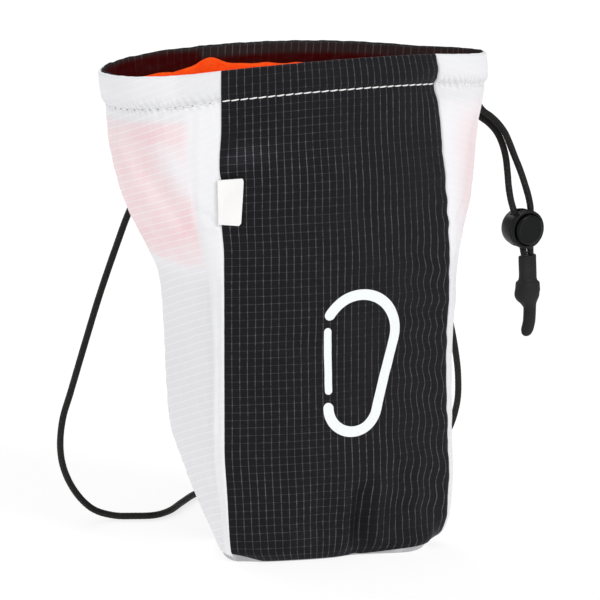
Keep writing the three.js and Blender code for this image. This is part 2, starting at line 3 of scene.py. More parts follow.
import bpy
import numpy as np
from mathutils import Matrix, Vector


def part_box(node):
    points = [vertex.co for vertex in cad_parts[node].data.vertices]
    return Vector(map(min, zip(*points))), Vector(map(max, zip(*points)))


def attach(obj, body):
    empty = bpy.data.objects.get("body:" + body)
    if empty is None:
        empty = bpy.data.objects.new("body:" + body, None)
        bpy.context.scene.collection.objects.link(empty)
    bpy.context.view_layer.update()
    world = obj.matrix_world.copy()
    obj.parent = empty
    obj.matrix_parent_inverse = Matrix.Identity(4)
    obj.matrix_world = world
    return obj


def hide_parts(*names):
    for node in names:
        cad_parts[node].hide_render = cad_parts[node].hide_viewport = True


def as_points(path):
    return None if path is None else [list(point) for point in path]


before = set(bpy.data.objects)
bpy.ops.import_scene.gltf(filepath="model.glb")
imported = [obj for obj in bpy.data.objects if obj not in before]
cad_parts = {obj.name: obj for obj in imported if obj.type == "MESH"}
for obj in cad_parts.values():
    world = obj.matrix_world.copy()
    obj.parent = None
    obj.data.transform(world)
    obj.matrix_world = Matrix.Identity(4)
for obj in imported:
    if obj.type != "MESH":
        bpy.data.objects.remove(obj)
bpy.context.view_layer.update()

# A climbing chalk bag standing open on its base, front towards -Y. Lengths are millimetres until a
# mesh is made, and every place follows the same sections as the solids.
MM = 0.001

# The bag's sizes
BAG_HEIGHT = 201.0
PANEL_WIDTH = 96.0
BODY_DEPTH = 57.0
MOUTH_FLARE = 40.0
PANEL_BULGE = 11.0
RIM_SWAY = 4.0
FOLD_DEPTH = 3.0
CLOTH = 1.2
CLEARANCE = 0.3
BASE_LIP = 2.5  # turned-up edge of the base
BASE_RISE = 1.6  # how much higher the scene's base edge stands, behind the front
SOFT_EDGE = 0.72  # rounding of the base's lower edge
HEM_HEIGHT = 12.0
HEM_PUFF = 1.2
FACING_HEIGHT = 22.0
FACING_OUT, FACING_IN = 0.12, 0.75  # faces of the facing, inwards from the panels' inside
FACING_RISE = 0.75  # how far its top edge stands up along the back
LINING_DROP = 8.0  # lining edge below the rim
LINING_GAP = 1.35  # outer face of the lining, inwards from the panels' inside
LINING_FLOOR = 1.9
LINING_EDGE = 2.0  # room for the rounded top edge
FLEECE = 2.0
TAG_WIDTH = 10.3
TAG_LAP = 1.7
TAG_HEIGHT = 18.8
TAG_DROP = 43.5  # top of the tag below the rim
TAG_THICKNESS = 0.75
TUNNEL_WIDTH = 40.0
TUNNEL_HEIGHT = 18.0
TUNNEL_DROP = 35.0  # middle of the tunnel below the rim
TUNNEL_ROOM = 4.3  # hollow depth between panel and webbing
WEBBING_THICKNESS = 1.2
CORD_WIDTH = 2.8
LOCK_YAW = math.radians(11)
BARREL_WIDTH = 15.9
BUTTON_WIDTH = 12.4
BUTTON_PROUD = 1.4
BUTTON_FIT = 0.2  # air around the button
BUTTON_TAIL = 1.0  # web behind the cords
BUTTON_TRAVEL = 2.0
BORE_DEPTH = 9.15
BARREL_FLOOR = 1.0
SLOT_WIDTH = 10.6
SLOT_DEPTH = 4.1
SLOT_ROOM = 1.75  # half the slot's depth, around a cord
CORD_END_LENGTH = 33.7
CORD_END_WIDTH = 10.0

SEAM_COLUMNS = ["up", "flX", "flY", "frX", "frY", "brX", "brY", "blX", "blY"]
SEAMS = np.array([
    [0.0, -0.84, -0.86, 0.86, -0.86, 0.64, 0.33, -0.66, 0.33],
    [0.025, -0.93, -0.93, 0.99, -0.93, 0.76, 0.44, -0.75, 0.44],
    [0.06, -0.95, -0.96, 1.03, -0.96, 0.86, 0.51, -0.84, 0.51],
    [0.134, -0.97, -0.98, 1.04, -0.98, 0.95, 0.61, -0.96, 0.61],
    [0.244, -1.0, -1.0, 1.02, -1.0, 0.99, 0.89, -1.05, 0.96],
    [0.398, -1.0, -1.0, 1.0, -1.0, 0.99, 0.93, -1.08, 1.0],
    [0.547, -1.0, -1.0, 1.01, -1.0, 0.99, 0.89, -1.1, 1.0],
    [0.627, -1.0, -1.0, 1.0, -1.0, 0.99, 0.79, -1.1, 1.0],
    [0.697, -1.01, -1.0, 0.98, -1.01, 0.99, 0.61, -1.1, 0.98],
    [0.761, -1.01, -1.0, 0.96, -1.02, 1.0, 0.44, -1.1, 0.96],
    [0.846, -1.02, -1.0, 0.92, -1.05, 1.01, 0.23, -1.1, 0.93],
    [0.935, -1.02, -1.0, 0.89, -1.08, 1.03, 0.02, -1.09, 0.86],
    [1.0, -1.02, -1.0, 0.86, -1.11, 1.03, -0.11, -1.09, 0.82],
])
SWELL_COLUMNS = ["up", "front", "back", "flX", "flY", "blX", "blY", "frX", "frY", "brX", "brY"]
SWELLS = np.array([
    [0.0, 0.64, 0.36, -0.2, 0.09, -0.12, -0.05, 0.2, 0.09, 0.12, -0.05],
    [0.025, 0.64, 0.36, -0.09, 0.15, -0.1, -0.09, 0.2, 0.12, 0.12, -0.09],
    [0.06, 0.64, 0.45, -0.12, 0.14, -0.07, -0.14, 0.23, 0.14, 0.17, -0.14],
    [0.134, 0.64, 0.45, -0.18, 0.12, -0.05, -0.16, 0.25, 0.14, 0.17, -0.18],
    [0.244, 0.73, 0.45, -0.22, 0.12, -0.05, -0.25, 0.28, 0.14, 0.17, -0.21],
    [0.398, 0.73, 0.45, -0.22, 0.14, -0.05, -0.25, 0.33, 0.14, 0.15, -0.23],
    [0.547, 0.73, 0.45, -0.26, 0.22, -0.28, -0.21, 0.38, 0.16, 0.2, -0.21],
    [0.627, 0.82, 0.36, -0.48, 0.23, -0.58, -0.14, 0.5, 0.18, 0.35, -0.21],
    [0.697, 0.82, 0.36, -0.66, 0.21, -0.86, -0.11, 0.62, 0.16, 0.5, -0.23],
    [0.761, 0.91, 0.36, -0.8, 0.21, -1.03, -0.09, 0.65, 0.12, 0.6, -0.23],
    [0.846, 0.91, 0.45, -0.9, 0.21, -1.15, -0.05, 0.7, 0.07, 0.65, -0.23],
    [0.935, 1.0, 0.55, -0.93, 0.21, -1.25, -0.02, 0.76, 0.0, 0.71, -0.21],
    [1.0, 1.0, 0.55, -0.97, 0.21, -1.4, 0.0, 0.76, -0.02, 0.73, -0.19],
])
# Rise of the rim over the start, middle and end of each panel, shares of the rim sway
RIM_RISE = {"front": (0, 0.88, 0.3), "right": (0.3, -0.3, -0.25), "back": (-0.25, 0.42, 0), "left": (0, -0.95, 0)}
SWAY_STARTS = 0.6  # share of the height where the rim's sway dies out
# Dents and ridges of each panel: shares across and up, half sizes, lean, and depth inwards
FOLDS = {
    "front": [(0.57, 0.02, 0.08, 0.05, 0, 0.6), (0.3, 0.72, 0.12, 0.2, 0.25, 0.25)],
    "right": [(0.3, 0.8, 0.1, 0.14, 0.8, 0.6), (0.5, 0.38, 0.25, 0.2, 0, 0.5)],
    "back": [(0.5, 0.45, 0.22, 0.2, 0, 0.9)],
    "left": [(0.74, 0.76, 0.09, 0.16, -0.9, 0.8), (0.6, 0.72, 0.08, 0.14, -0.9, -0.5),
             (0.45, 0.4, 0.25, 0.22, 0, 0.6)],
}
SOLID_STEPS = {"front": 10, "right": 13, "back": 10, "left": 13}  # steps of the solids around each panel
STEPS = {"front": 100, "right": 84, "back": 100, "left": 112}  # steps of the scene, about a millimetre each

# Routes of the cords, as listed points
LOCK_AT = np.array([89.5, -15.5, 123.9])
CORD_END_AT = np.array([91.1, -11, 112.3])
INNER_STRAND = [
    (60, -3.9, 191.9), (61.3, -2.4, 189.8), (62.8, -1.2, 186.6), (64.8, -0.2, 182.6), (67.4, 0.4, 178.2),
    (70.4, 0.2, 173.4), (74.2, -0.4, 169.2), (77.7, -1.2, 166.4), (80.7, -2.4, 162.8), (82.5, -4.1, 158.3),
    (83.2, -6.4, 152.9), (83, -8.8, 147), (82.8, -10.5, 141.6), (83.2, -11.7, 136.4), (84.4, -12.2, 131.6),
    (86.3, -11.9, 126), (87.7, -11.6, 120), (88.8, -11.4, 116), (89.5, -11.3, 112.8),
]
OUTER_STRAND = [
    (63.9, -6.7, 193.2), (65.2, -5.2, 190.9), (66.6, -4, 187.6), (68.1, -3.3, 183.6), (70, -3, 179.4),
    (72.1, -2.9, 175.2), (74.6, -3.1, 171.8), (77.7, -3.9, 169.4), (80.6, -4.9, 166.3), (83, -6.1, 162.6),
    (84.7, -7.3, 158), (86.4, -8.3, 153), (88.4, -9.2, 147.5), (90.2, -10, 141.7), (91.7, -10.7, 135.9),
    (92.4, -11, 131), (92.3, -10.8, 126), (92.3, -10.8, 120), (92.4, -10.8, 116), (92.6, -10.7, 112.8),
]
WAIST_CORD = [
    (-3, 24.7, 166.7), (-11.2, 26, 166.6), (-19, 27.2, 166.4), (-27, 28.5, 165.8), (-37, 30.8, 163),
    (-47.5, 33, 156.5), (-57, 34.2, 146.5), (-64, 34.5, 134.4), (-68.7, 37, 120.2), (-74.7, 41, 99.3),
    (-79.7, 45, 78.9), (-84.6, 49, 58.1), (-87.4, 51.4, 46), (-87.6, 54, 33.8), (-84.8, 57, 23),
    (-79, 59.6, 12.6), (-71.5, 60.6, 4.8), (-63.5, 58.2, 1.8), (-55.5, 54.4, 1.6), (-47, 52.6, 1.6),
    (-38.5, 57.5, 1.6), (-29, 68.5, 1.6), (-17, 81, 1.6), (0, 90, 1.6), (22, 94, 1.6), (44, 92.5, 1.6),
    (65, 85.5, 2.2), (81, 76.5, 8.5), (89.8, 69.5, 19), (93.2, 65.5, 32), (92.7, 62.5, 45),
    (89.3, 58.5, 60), (83, 53, 80), (75, 46, 102), (66, 38.5, 124), (56.5, 31.5, 143),
    (45.5, 24.5, 157), (34.5, 19.4, 164.6), (24.5, 18.8, 166.2), (16.5, 20.4, 166.3),
    (9.2, 22.2, 166.6), (1, 23.9, 166.7),
]


# Short words for arrays

def unit(ways):
    return ways / np.linalg.norm(ways, axis=-1, keepdims=True)


def smooth_step(low, high, value):
    t = np.clip((value - low) / (high - low), 0, 1)
    return t * t * (3 - 2 * t)


def falling(low, high, value):
    return 1 - smooth_step(low, high, value)


def bell(value, middle, half):
    return np.exp(-((value - middle) / half) ** 2)


def turned(x, y, angle):
    return x * math.cos(angle) - y * math.sin(angle), x * math.sin(angle) + y * math.cos(angle)


def even_shares(steps, part=1.0):
    count = int(steps * part)
    return np.arange(count) / count


def grain_at(across, up):
    """Cloth coordinates across and up, in millimetres, for the materials."""
    return np.stack(np.broadcast_arrays(across, up, 0.0), -1)


def run_of(line):
    """Distance along a line at each of its points."""
    return np.concatenate([[0], np.cumsum(np.linalg.norm(np.diff(line, axis=0), axis=1))])


def points_at(line, run, where):
    """Places on a line at distances along it."""
    return np.stack([np.interp(where, run, line[:, k]) for k in range(line.shape[1])], -1)


# The cloth's surface, as the solids have it

def columns_at(table, names, up):
    """Smooth values of a table's columns at shares of the height, without overshoot."""
    rows = table[:, 0]
    values = table[:, 1:]
    slopes = np.diff(values, axis=0) / np.diff(rows)[:, None]
    product = slopes[:-1] * slopes[1:]
    total = slopes[:-1] + slopes[1:]
    inner = np.where(product > 0, 2 * product / np.where(total == 0, 1, total), 0)
    tangents = np.vstack([slopes[:1], inner, slopes[-1:]])
    up = np.asarray(up, float)
    row = np.clip(np.searchsorted(rows, up, side="left") - 1, 0, len(rows) - 2)
    span = rows[row + 1] - rows[row]
    t = ((up - rows[row]) / span)[..., None]
    span = span[..., None]
    found = (values[row] * (1 + 2 * t) * (1 - t) ** 2 + tangents[row] * span * t * (1 - t) ** 2
             + values[row + 1] * t * t * (3 - 2 * t) + tangents[row + 1] * span * t * t * (t - 1))
    return {name: found[..., k] for k, name in enumerate(names[1:])}


def plain_point(panel, across, height):
    """Place on a panel's outer face before its folds, as x and y."""
    up = np.clip(height / BAG_HEIGHT, 0, 1)
    seams = columns_at(SEAMS, SEAM_COLUMNS, up)
    swells = columns_at(SWELLS, SWELL_COLUMNS, up)

    def corner(key):
        return np.stack([seams[key + "X"] * PANEL_WIDTH / 2, seams[key + "Y"] * BODY_DEPTH / 2], -1)

    def pull(key):
        return np.stack([swells[key + "X"] * MOUTH_FLARE, swells[key + "Y"] * BODY_DEPTH], -1)

    t = across[..., None]
    if panel in ("front", "back"):
        start, end = (corner("fl"), corner("fr")) if panel == "front" else (corner("br"), corner("bl"))
        along = end - start
        outward = unit(np.stack([along[..., 1], -along[..., 0]], -1))
        depth = (swells[panel] * PANEL_BULGE)[..., None]
        return start + along * t + outward * 4 * depth * t * (1 - t)
    first, last = ("fr", "br") if panel == "right" else ("bl", "fl")
    a, b, c, d = corner(first), corner(first) + pull(first), corner(last) + pull(last), corner(last)
    return a * (1 - t) ** 3 + b * 3 * t * (1 - t) ** 2 + c * 3 * t * t * (1 - t) + d * t ** 3


SLOPE_STEP = 0.01  # share of a panel used to find which way its cloth faces
ORDER = ["front", "right", "back", "left"]
SEAM_BLEND = 0.05  # share of a panel over which its facing turns into its neighbour's


def facing_out(panel, across, height):
    """Which way the cloth faces, level, turning into the neighbour's facing at a seam."""
    def own(name, at):
        before = plain_point(name, np.clip(at - SLOPE_STEP, 0, 1), height)
        after = plain_point(name, np.clip(at + SLOPE_STEP, 0, 1), height)
        way = after - before
        return unit(np.stack([way[..., 1], -way[..., 0]], -1))

    k = ORDER.index(panel)
    here = own(panel, across)
    for name, edge, near in ((ORDER[k - 1], 1.0, across), (ORDER[(k + 1) % 4], 0.0, 1 - across)):
        share = 0.5 * np.clip(1 - near / SEAM_BLEND, 0, 1) ** 2
        here = here * (1 - share[..., None]) + own(name, np.full_like(across, edge)) * share[..., None]
    return unit(here)


def fold_depth(panel, across, height):
    depth = np.zeros_like(across)
    for at, up, half_across, half_up, lean, deep in FOLDS[panel]:
        rise = height / BAG_HEIGHT - up
        depth += deep * np.exp(-((across - at - lean * rise) / half_across) ** 2 - (rise / half_up) ** 2)
    return depth * FOLD_DEPTH * np.sin(np.pi * across)


def rim_lift(panel, across, height):
    start, middle, end = RIM_RISE[panel]
    share = smooth_step(SWAY_STARTS, 1 - HEM_HEIGHT / BAG_HEIGHT, height / BAG_HEIGHT)
    arch = middle - (start + end) / 2
    return RIM_SWAY * share * (start * (1 - across) + end * across + 4 * arch * across * (1 - across))


def cloth(panel, across, height, out=0.0, rise=0.0, wrinkle=True):
    """Place on or off a panel's outer face, with its folds and, if asked, its small wrinkles."""
    across, height = np.broadcast_arrays(np.asarray(across, float), np.asarray(height, float))
    flat = plain_point(panel, across, height)
    depth = fold_depth(panel, across, height) - slump(panel, across, height)
    lift = rim_lift(panel, across, height)
    if wrinkle:
        depth = depth - wrinkles(panel, across, height)
        lift = lift + rim_ruffle(panel, across, height)
        flat[..., 0] += seam_sway(panel, across, height)
    flat = flat + facing_out(panel, across, height) * (np.asarray(out) - depth)[..., None]
    return np.concatenate([flat, (height + lift + rise)[..., None]], -1)


TOE = 5.5  # how far the front's foot stands forward near its right corner
SAG = (1.6, 1.4)  # how far the front sinks forward over the base at its left, and more to its right
FULLNESS = 1.7  # how far the right side fills out midway


def slump(panel, across, height):
    """Outwards: thin cloth sinking over the base, and the right side filling out."""
    low = falling(1, 17, height)
    if panel == "front":
        toe = TOE * falling(0.5, 11, height) * bell(across, 0.85, 0.14)
        toe *= falling(0.9, 1, across)
        sag = (SAG[0] + SAG[1] * across) * smooth_step(0, 0.14, across) * (1 - 0.95 * smooth_step(0.8, 1, across))
        return low * sag + toe
    if panel == "right":
        middle = FULLNESS * bell(height, 124, 36) * np.sin(np.pi * across) ** 0.8
        return low * 0.15 * bell(across, 0, 0.22) + middle
    return np.zeros_like(across)


def seam_sway(panel, across, height):
    """Sideways: the front's right seam is drawn up unevenly, its left one bows out above the tag."""
    left = falling(0, 0.1, across) if panel == "front" else smooth_step(0.93, 1, across)
    bow = 0.4 + 0.6 * smooth_step(156.5, 160.5, height) - smooth_step(161, 179, height)
    bow = -np.clip(bow, 0, 1) * left * smooth_step(128, 140, height) * (panel in ("front", "left"))
    if panel not in ("front", "right"):
        return bow
    near = smooth_step(0.86, 1, across) if panel == "front" else falling(0, 0.14, across)
    fade = smooth_step(4, 16, height) * falling(172, 186, height)
    uneven = (1.25 * bell(height, 128, 42) + 0.17 * np.sin(height * 2 * np.pi / 14 + 2.4 * np.sin(height / 11))
              + 0.08 * np.sin(height / 1.3))
    return bow + near * (fade * uneven - 1.5 * bell(height, 187.5, 4.5) + 0.3 * bell(height, 195, 3))


# Small wrinkles, outwards, in millimetres

def waves(u, v, length, seed, count=7):
    """Sum of sine waves in seeded directions, about -1 to 1."""
    draw = np.random.default_rng(seed)
    total = np.zeros_like(u)
    for turn, size, phase in zip(draw.uniform(0, np.pi, count), draw.uniform(0.7, 1.6, count),
                                 draw.uniform(0, 2 * np.pi, count)):
        total += np.sin((u * np.cos(turn) + v * np.sin(turn)) * 2 * np.pi / (length * size) + phase)
    return total / math.sqrt(count) / 1.2


# Creases of each panel: share across and height where they start and end, half width, depth outwards
CREASES = {
    "front": [
        (0.02, 149, 0.16, 156, 2.2, 0.75), (0.02, 157, 0.15, 162, 2.0, -0.7), (0.03, 167, 0.2, 161, 2.6, 0.9),
        (0.03, 176, 0.16, 170, 2.6, -0.9), (0.585, 30, 0.565, 4, 3.2, -2.6), (0.66, 34, 0.635, 3, 3.0, 1.2),
        (0.5, 26, 0.5, 3, 3.0, 1.2), (0.78, 36, 0.72, 4, 3.2, -0.9), (0.86, 40, 0.82, 8, 2.6, 0.6),
        (0.4, 36, 0.36, 4, 3.6, -0.7), (0.27, 30, 0.24, 4, 3.4, 0.6), (0.3, 186, 0.34, 150, 4.0, 0.5),
        (0.55, 186, 0.6, 128, 5.0, -0.6), (0.1, 96, 0.45, 84, 4.0, -0.5), (0.5, 124, 0.8, 112, 4.0, 0.45),
        (0.84, 66, 0.98, 58, 2.0, -0.45), (0.82, 80, 0.98, 75, 2.0, 0.4), (0.85, 98, 0.99, 92, 2.2, -0.5),
        (0.84, 118, 0.99, 112, 2.0, 0.45), (0.86, 142, 0.99, 138, 2.0, -0.4), (0.02, 112, 0.2, 118, 2.4, -0.3),
        (0.02, 60, 0.18, 66, 2.6, 0.3),
    ],
    "right": [
        (0.05, 130, 0.35, 150, 2.2, -0.5), (0.08, 96, 0.4, 108, 2.4, 0.45), (0.05, 60, 0.45, 66, 2.4, -0.4),
        (0.6, 168, 0.9, 120, 3.0, 0.5),
    ],
    "back": [
        (0.1, 150, 0.42, 104, 3.6, -0.7), (0.9, 146, 0.6, 100, 3.6, -0.6), (0.3, 60, 0.7, 44, 3.2, 0.5),
        (0.15, 28, 0.6, 12, 3.0, -0.5), (0.872, 178, 0.866, 214, 1.3, 0.7), (0.885, 178, 0.879, 214, 1.0, -0.5),
    ],
    "left": [
        (0.99, 141, 0.86, 146, 1.6, -0.35), (1.0, 137.5, 0.9, 138.5, 1.5, 0.6), (0.9, 188, 0.875, 134, 0.7, -0.28),
        (0.93, 188, 0.905, 134, 1.4, 0.2), (0.87, 126, 0.8, 24, 1.6, -0.5), (0.91, 122, 0.87, 22, 2.2, 0.45),
        (0.5, 176, 0.82, 128, 3.5, 0.5), (0.42, 158, 0.7, 112, 3.5, -0.5), (0.55, 108, 0.95, 84, 3.0, -0.35),
        (0.5, 70, 0.95, 52, 3.0, 0.35), (0.6, 36, 0.95, 20, 3.0, -0.35),
    ],
}


PUCKERS = {"front": (0.06, 0.16), "right": (0.12, 0.12), "back": (0.14, 0.14), "left": (0.12, 0.06)}
GATHERS = {"front": 0.12, "right": 1.0, "back": 0.9, "left": 0.8}


def wrinkles(panel, across, height):
    """Creases, seam puckers, gathers under the hem and the soft unevenness of thin cloth."""
    u = across * PANEL_WIDTH
    outward = np.zeros_like(across)
    for at, low, to, high, half, deep in CREASES[panel]:
        start = np.array([at * PANEL_WIDTH, low])
        way = np.array([to * PANEL_WIDTH, high]) - start
        size = np.linalg.norm(way)
        way /= size
        along = (u - start[0]) * way[0] + (height - start[1]) * way[1]
        aside = -(u - start[0]) * way[1] + (height - start[1]) * way[0]
        ends = smooth_step(-0.1 * size, 0.25 * size, along) * smooth_step(-0.1 * size, 0.25 * size, size - along)
        outward += deep * np.exp(-(aside / half) ** 2) * ends
    seam = np.minimum(across, 1 - across) * PANEL_WIDTH
    seed = 10 + ORDER.index(panel)
    body = smooth_step(3, 14, height) * falling(184, 189, height)
    outward += 0.16 * waves(u, height, 26, seed) * np.clip(seam / 10, 0, 1)
    outward += 0.07 * waves(u * 0.7, height * 1.4, 9, seed + 10) * np.clip(seam / 5, 0, 1) * body
    pucker = np.sin(height * 2 * np.pi / 7.4 + 2.6 * np.sin(height * 0.17 + seed)) * bell(seam, 2.6, 2.6)
    side = np.where(across < 0.5, PUCKERS[panel][0], PUCKERS[panel][1])
    outward += side * pucker * smooth_step(2, 12, height) * falling(176, 186, height)
    outward += GATHERS[panel] * gather(u, height)
    outward -= 0.45 * bell(seam, 0, 0.9) * falling(196, 200, height)
    return outward


def gather(u, height):
    """Short upright gathers, deepest on the hem's stitch line."""
    line = BAG_HEIGHT - HEM_HEIGHT
    near = bell(height, line, 3.0) + 0.45 * bell(height, line - 7, 6)
    near += 0.12 * smooth_step(line, BAG_HEIGHT, height)
    beat = np.sin(u * 2 * np.pi / 3.4 + 1.3 * np.sin(u * 0.37)) + 0.6 * np.sin(u * 2 * np.pi / 5.9 + 2.0)
    return 0.2 * beat * near


def rim_ruffle(panel, across, height):
    """How the gathered rim rises and falls."""
    u = across * PANEL_WIDTH
    share = smooth_step(BAG_HEIGHT - HEM_HEIGHT, BAG_HEIGHT, height)
    size = {"front": 0.04, "right": 0.05, "back": 0.08, "left": 0.06}[panel]
    size = size + 0.1 * smooth_step(0.8, 0.95, across) * (panel == "back")
    size = size + 0.14 * falling(0.3, 0.5, across) * (panel == "left")
    fade = np.sin(np.pi * np.clip(across, 0, 1)) ** 0.5
    return size * share * fade * (np.sin(u * 2 * np.pi / 11.5 + 0.8) + 0.8 * np.sin(u * 2 * np.pi / 5.2))


# The solids' place: their base edge against the same edge worked out here.

def base_edge():
    points = [plain_point(panel, np.arange(steps) / steps, np.full(steps, height))
              for panel, steps in SOLID_STEPS.items() for height in (SOFT_EDGE, BASE_LIP)]
    return np.append(np.vstack(points).min(axis=0), 0.0)


SHIFT = np.array(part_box("base_panel")[0]) / MM - base_edge()
SHIFT[2] = 0.0


def place(point):
    return (np.asarray(point, float) + SHIFT) * MM


# Camera: the photograph's angle, with the front left corner of the rim at its place in it

PHOTO_SIZE = 600
PHOTO_RIM = (221, 71)  # pixel of the rim at the front left seam
PIXEL = 0.3925  # millimetres a pixel at the bag
AZIMUTH, ELEVATION = math.radians(22), math.radians(12.5)
DISTANCE = 2500.0
SENSOR = 36.0


def make_camera():
    toward = Vector((math.sin(AZIMUTH) * math.cos(ELEVATION), math.cos(AZIMUTH) * math.cos(ELEVATION),
                     -math.sin(ELEVATION)))
    right = Vector((math.cos(AZIMUTH), -math.sin(AZIMUTH), 0))
    upward = right.cross(toward)
    rim = Vector(cloth("front", 0, BAG_HEIGHT, wrinkle=False) + SHIFT)
    half = PHOTO_SIZE / 2
    target = rim + right * (half - PHOTO_RIM[0]) * PIXEL - upward * (half - PHOTO_RIM[1]) * PIXEL
    data = bpy.data.cameras.new("camera")
    data.sensor_width = SENSOR
    data.lens = DISTANCE / PIXEL / PHOTO_SIZE * SENSOR
    data.clip_end = 50
    camera = bpy.data.objects.new("camera", data)
    bpy.context.scene.collection.objects.link(camera)
    camera.location = (target - toward * DISTANCE) * MM
    camera.rotation_mode = "QUATERNION"
    camera.rotation_quaternion = toward.to_track_quat("-Z", "Y")
    bpy.context.scene.camera = camera


make_camera()


# Meshes

def make_piece(name, points, faces, material, body="bag", grain=None, tints=None, sharp=None):
    """A mesh piece from places in millimetres, riding on a body, with its cloth coordinates."""
    mesh = bpy.data.meshes.new(name)
    points = np.asarray(points, float).reshape(-1, 3)
    mesh.from_pydata(((points + SHIFT) * MM).tolist(), [], faces)
    mesh.polygons.foreach_set("use_smooth", np.ones(len(mesh.polygons), bool))
    if grain is not None:
        layer = mesh.attributes.new("grain", "FLOAT_VECTOR", "POINT")
        layer.data.foreach_set("vector", np.asarray(grain, np.float32).ravel())
    for label, values in (tints or {}).items():
        layer = mesh.attributes.new(label, "FLOAT", "POINT")
        layer.data.foreach_set("value", np.asarray(values, np.float32).ravel())
    mesh.materials.append(material)
    piece = bpy.data.objects.new(name, mesh)
    bpy.context.scene.collection.objects.link(piece)
    if sharp is not None:
        mesh.set_sharp_from_angle(angle=math.radians(sharp))
    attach(piece, body)
    return piece


def loft_faces(rows, size, closed_rows=False, first=0):
    """Quads between rows of points, each row a closed loop of that size."""
    faces = []
    for row in range(rows if closed_rows else rows - 1):
        low, high = first + row * size, first + ((row + 1) % rows) * size
        for k in range(size):
            after = (k + 1) % size
            faces.append((low + k, low + after, high + after, high + k))
    return faces


def strip_caps(rows, size, first=0):
    """Closes both ends of a loft whose loops run up one side and back down the other."""
    last = first + (rows - 1) * size
    faces = []
    for k in range(size // 2 - 1):
        a, b, c, d = k, k + 1, size - 2 - k, size - 1 - k
        faces.append((first + a, first + d, first + c, first + b))
        faces.append((last + a, last + b, last + c, last + d))
    return faces


def reverse(faces):
    return [face[::-1] for face in faces]


def tube_faces(rows, size, first=0):
    """A loft with a fan of triangles over each end, whose middles are its last two points."""
    count = rows * size
    faces = loft_faces(rows, size, first=first)
    for start, turn in ((first, -1), (first + count - size, 1)):
        middle = first + count + (turn > 0)
        faces += [(start + k, start + (k + 1) % size, middle)[::turn] for k in range(size)]
    return faces


# Materials

class Nodes:
    """Short words for the nodes that the materials are built from."""

    def __init__(self, name):
        self.material = bpy.data.materials.new(name)
        self.material.use_nodes = True
        self.nodes = self.material.node_tree.nodes
        self.shader = self.nodes["Principled BSDF"]

    def add(self, kind, **values):
        node = self.nodes.new(kind)
        for key, value in values.items():
            setattr(node, key, value)
        return node

    def put(self, socket, value):
        """Sets a socket to a number or a colour, or joins another node's output to it."""
        if isinstance(value, tuple):
            socket.default_value = (*value, 1.0)
        elif isinstance(value, (int, float)):
            socket.default_value = value
        else:
            self.material.node_tree.links.new(value, socket)

    def math(self, operation, *values, clamp=False):
        node = self.add("ShaderNodeMath", operation=operation, use_clamp=clamp)
        for socket, value in zip(node.inputs, values):
            self.put(socket, value)
        return node.outputs[0]

    def times(self, first, second, clamp=False):
        return self.math("MULTIPLY", first, second, clamp=clamp)

    def plus(self, first, second, clamp=False):
        return self.math("ADD", first, second, clamp=clamp)

    def sine(self, along, pitch):
        return self.math("SINE", self.times(along, 2 * math.pi / pitch))

    def ramp(self, value, low, high, to_low=0.0, to_high=1.0):
        node = self.add("ShaderNodeMapRange", interpolation_type="SMOOTHSTEP")
        for name, given in (("Value", value), ("From Min", low), ("From Max", high), ("To Min", to_low),
                            ("To Max", to_high)):
            self.put(node.inputs[name], given)
        return node.outputs["Result"]

    def mix(self, share, first, second):
        node = self.add("ShaderNodeMix", data_type="RGBA")
        for name, value in (("Factor", share), ("A", first), ("B", second)):
            self.put(node.inputs[name], value)
        return node.outputs["Result"]

    def attribute(self, name, output="Fac"):
        return self.add("ShaderNodeAttribute", attribute_name=name).outputs[output]

    def grain(self):
        """Cloth coordinates across and up, in millimetres, and both as a vector."""
        split = self.add("ShaderNodeSeparateXYZ")
        both = self.attribute("grain", "Vector")
        self.put(split.inputs[0], both)
        return split.outputs["X"], split.outputs["Y"], both

    def noise(self, scale, detail=4.0, vector=None, roughness=0.5):
        node = self.add("ShaderNodeTexNoise")
        if vector is None:
            vector = self.add("ShaderNodeTexCoord").outputs["Object"]
        for name, value in (("Scale", scale), ("Detail", detail), ("Roughness", roughness), ("Vector", vector)):
            self.put(node.inputs[name], value)
        return node.outputs["Fac"]

    def line(self, along, pitch, width, soft):
        """1 on a grid line, 0 between lines: along is in millimetres."""
        share = self.math("FRACT", self.times(along, 1 / pitch))
        far = self.math("ABSOLUTE", self.math("SUBTRACT", share, 0.5))
        return self.ramp(far, 0.5 - (width / 2 + soft) / pitch, 0.5 - (width / 2 - soft) / pitch)

    def bump(self, height, strength, distance, normal=None):
        node = self.add("ShaderNodeBump")
        for name, value in (("Strength", strength), ("Distance", distance), ("Height", height)):
            self.put(node.inputs[name], value)
        if normal is not None:
            self.put(node.inputs["Normal"], normal)
        return node.outputs["Normal"]

    def finish(self, colour, roughness, normal=None, **sockets):
        self.put(self.shader.inputs["Base Color"], colour)
        self.put(self.shader.inputs["Roughness"], roughness)
        if normal is not None:
            self.put(self.shader.inputs["Normal"], normal)
        for name, value in sockets.items():
            self.put(self.shader.inputs[name.replace("_", " ")], value)
        return self.material


GRID = 3.14  # ripstop squares, millimetres
FACING_GRID = 2.87
WEAVE = 0.36  # one thread over and under
SPOTS = 0.83  # from one spot of a light thread to the next


def weave_height(n, across, up, pitch=WEAVE):
    """Plain weave: threads over and under, about -1 to 1."""
    return n.times(n.sine(across, pitch), n.sine(up, pitch))


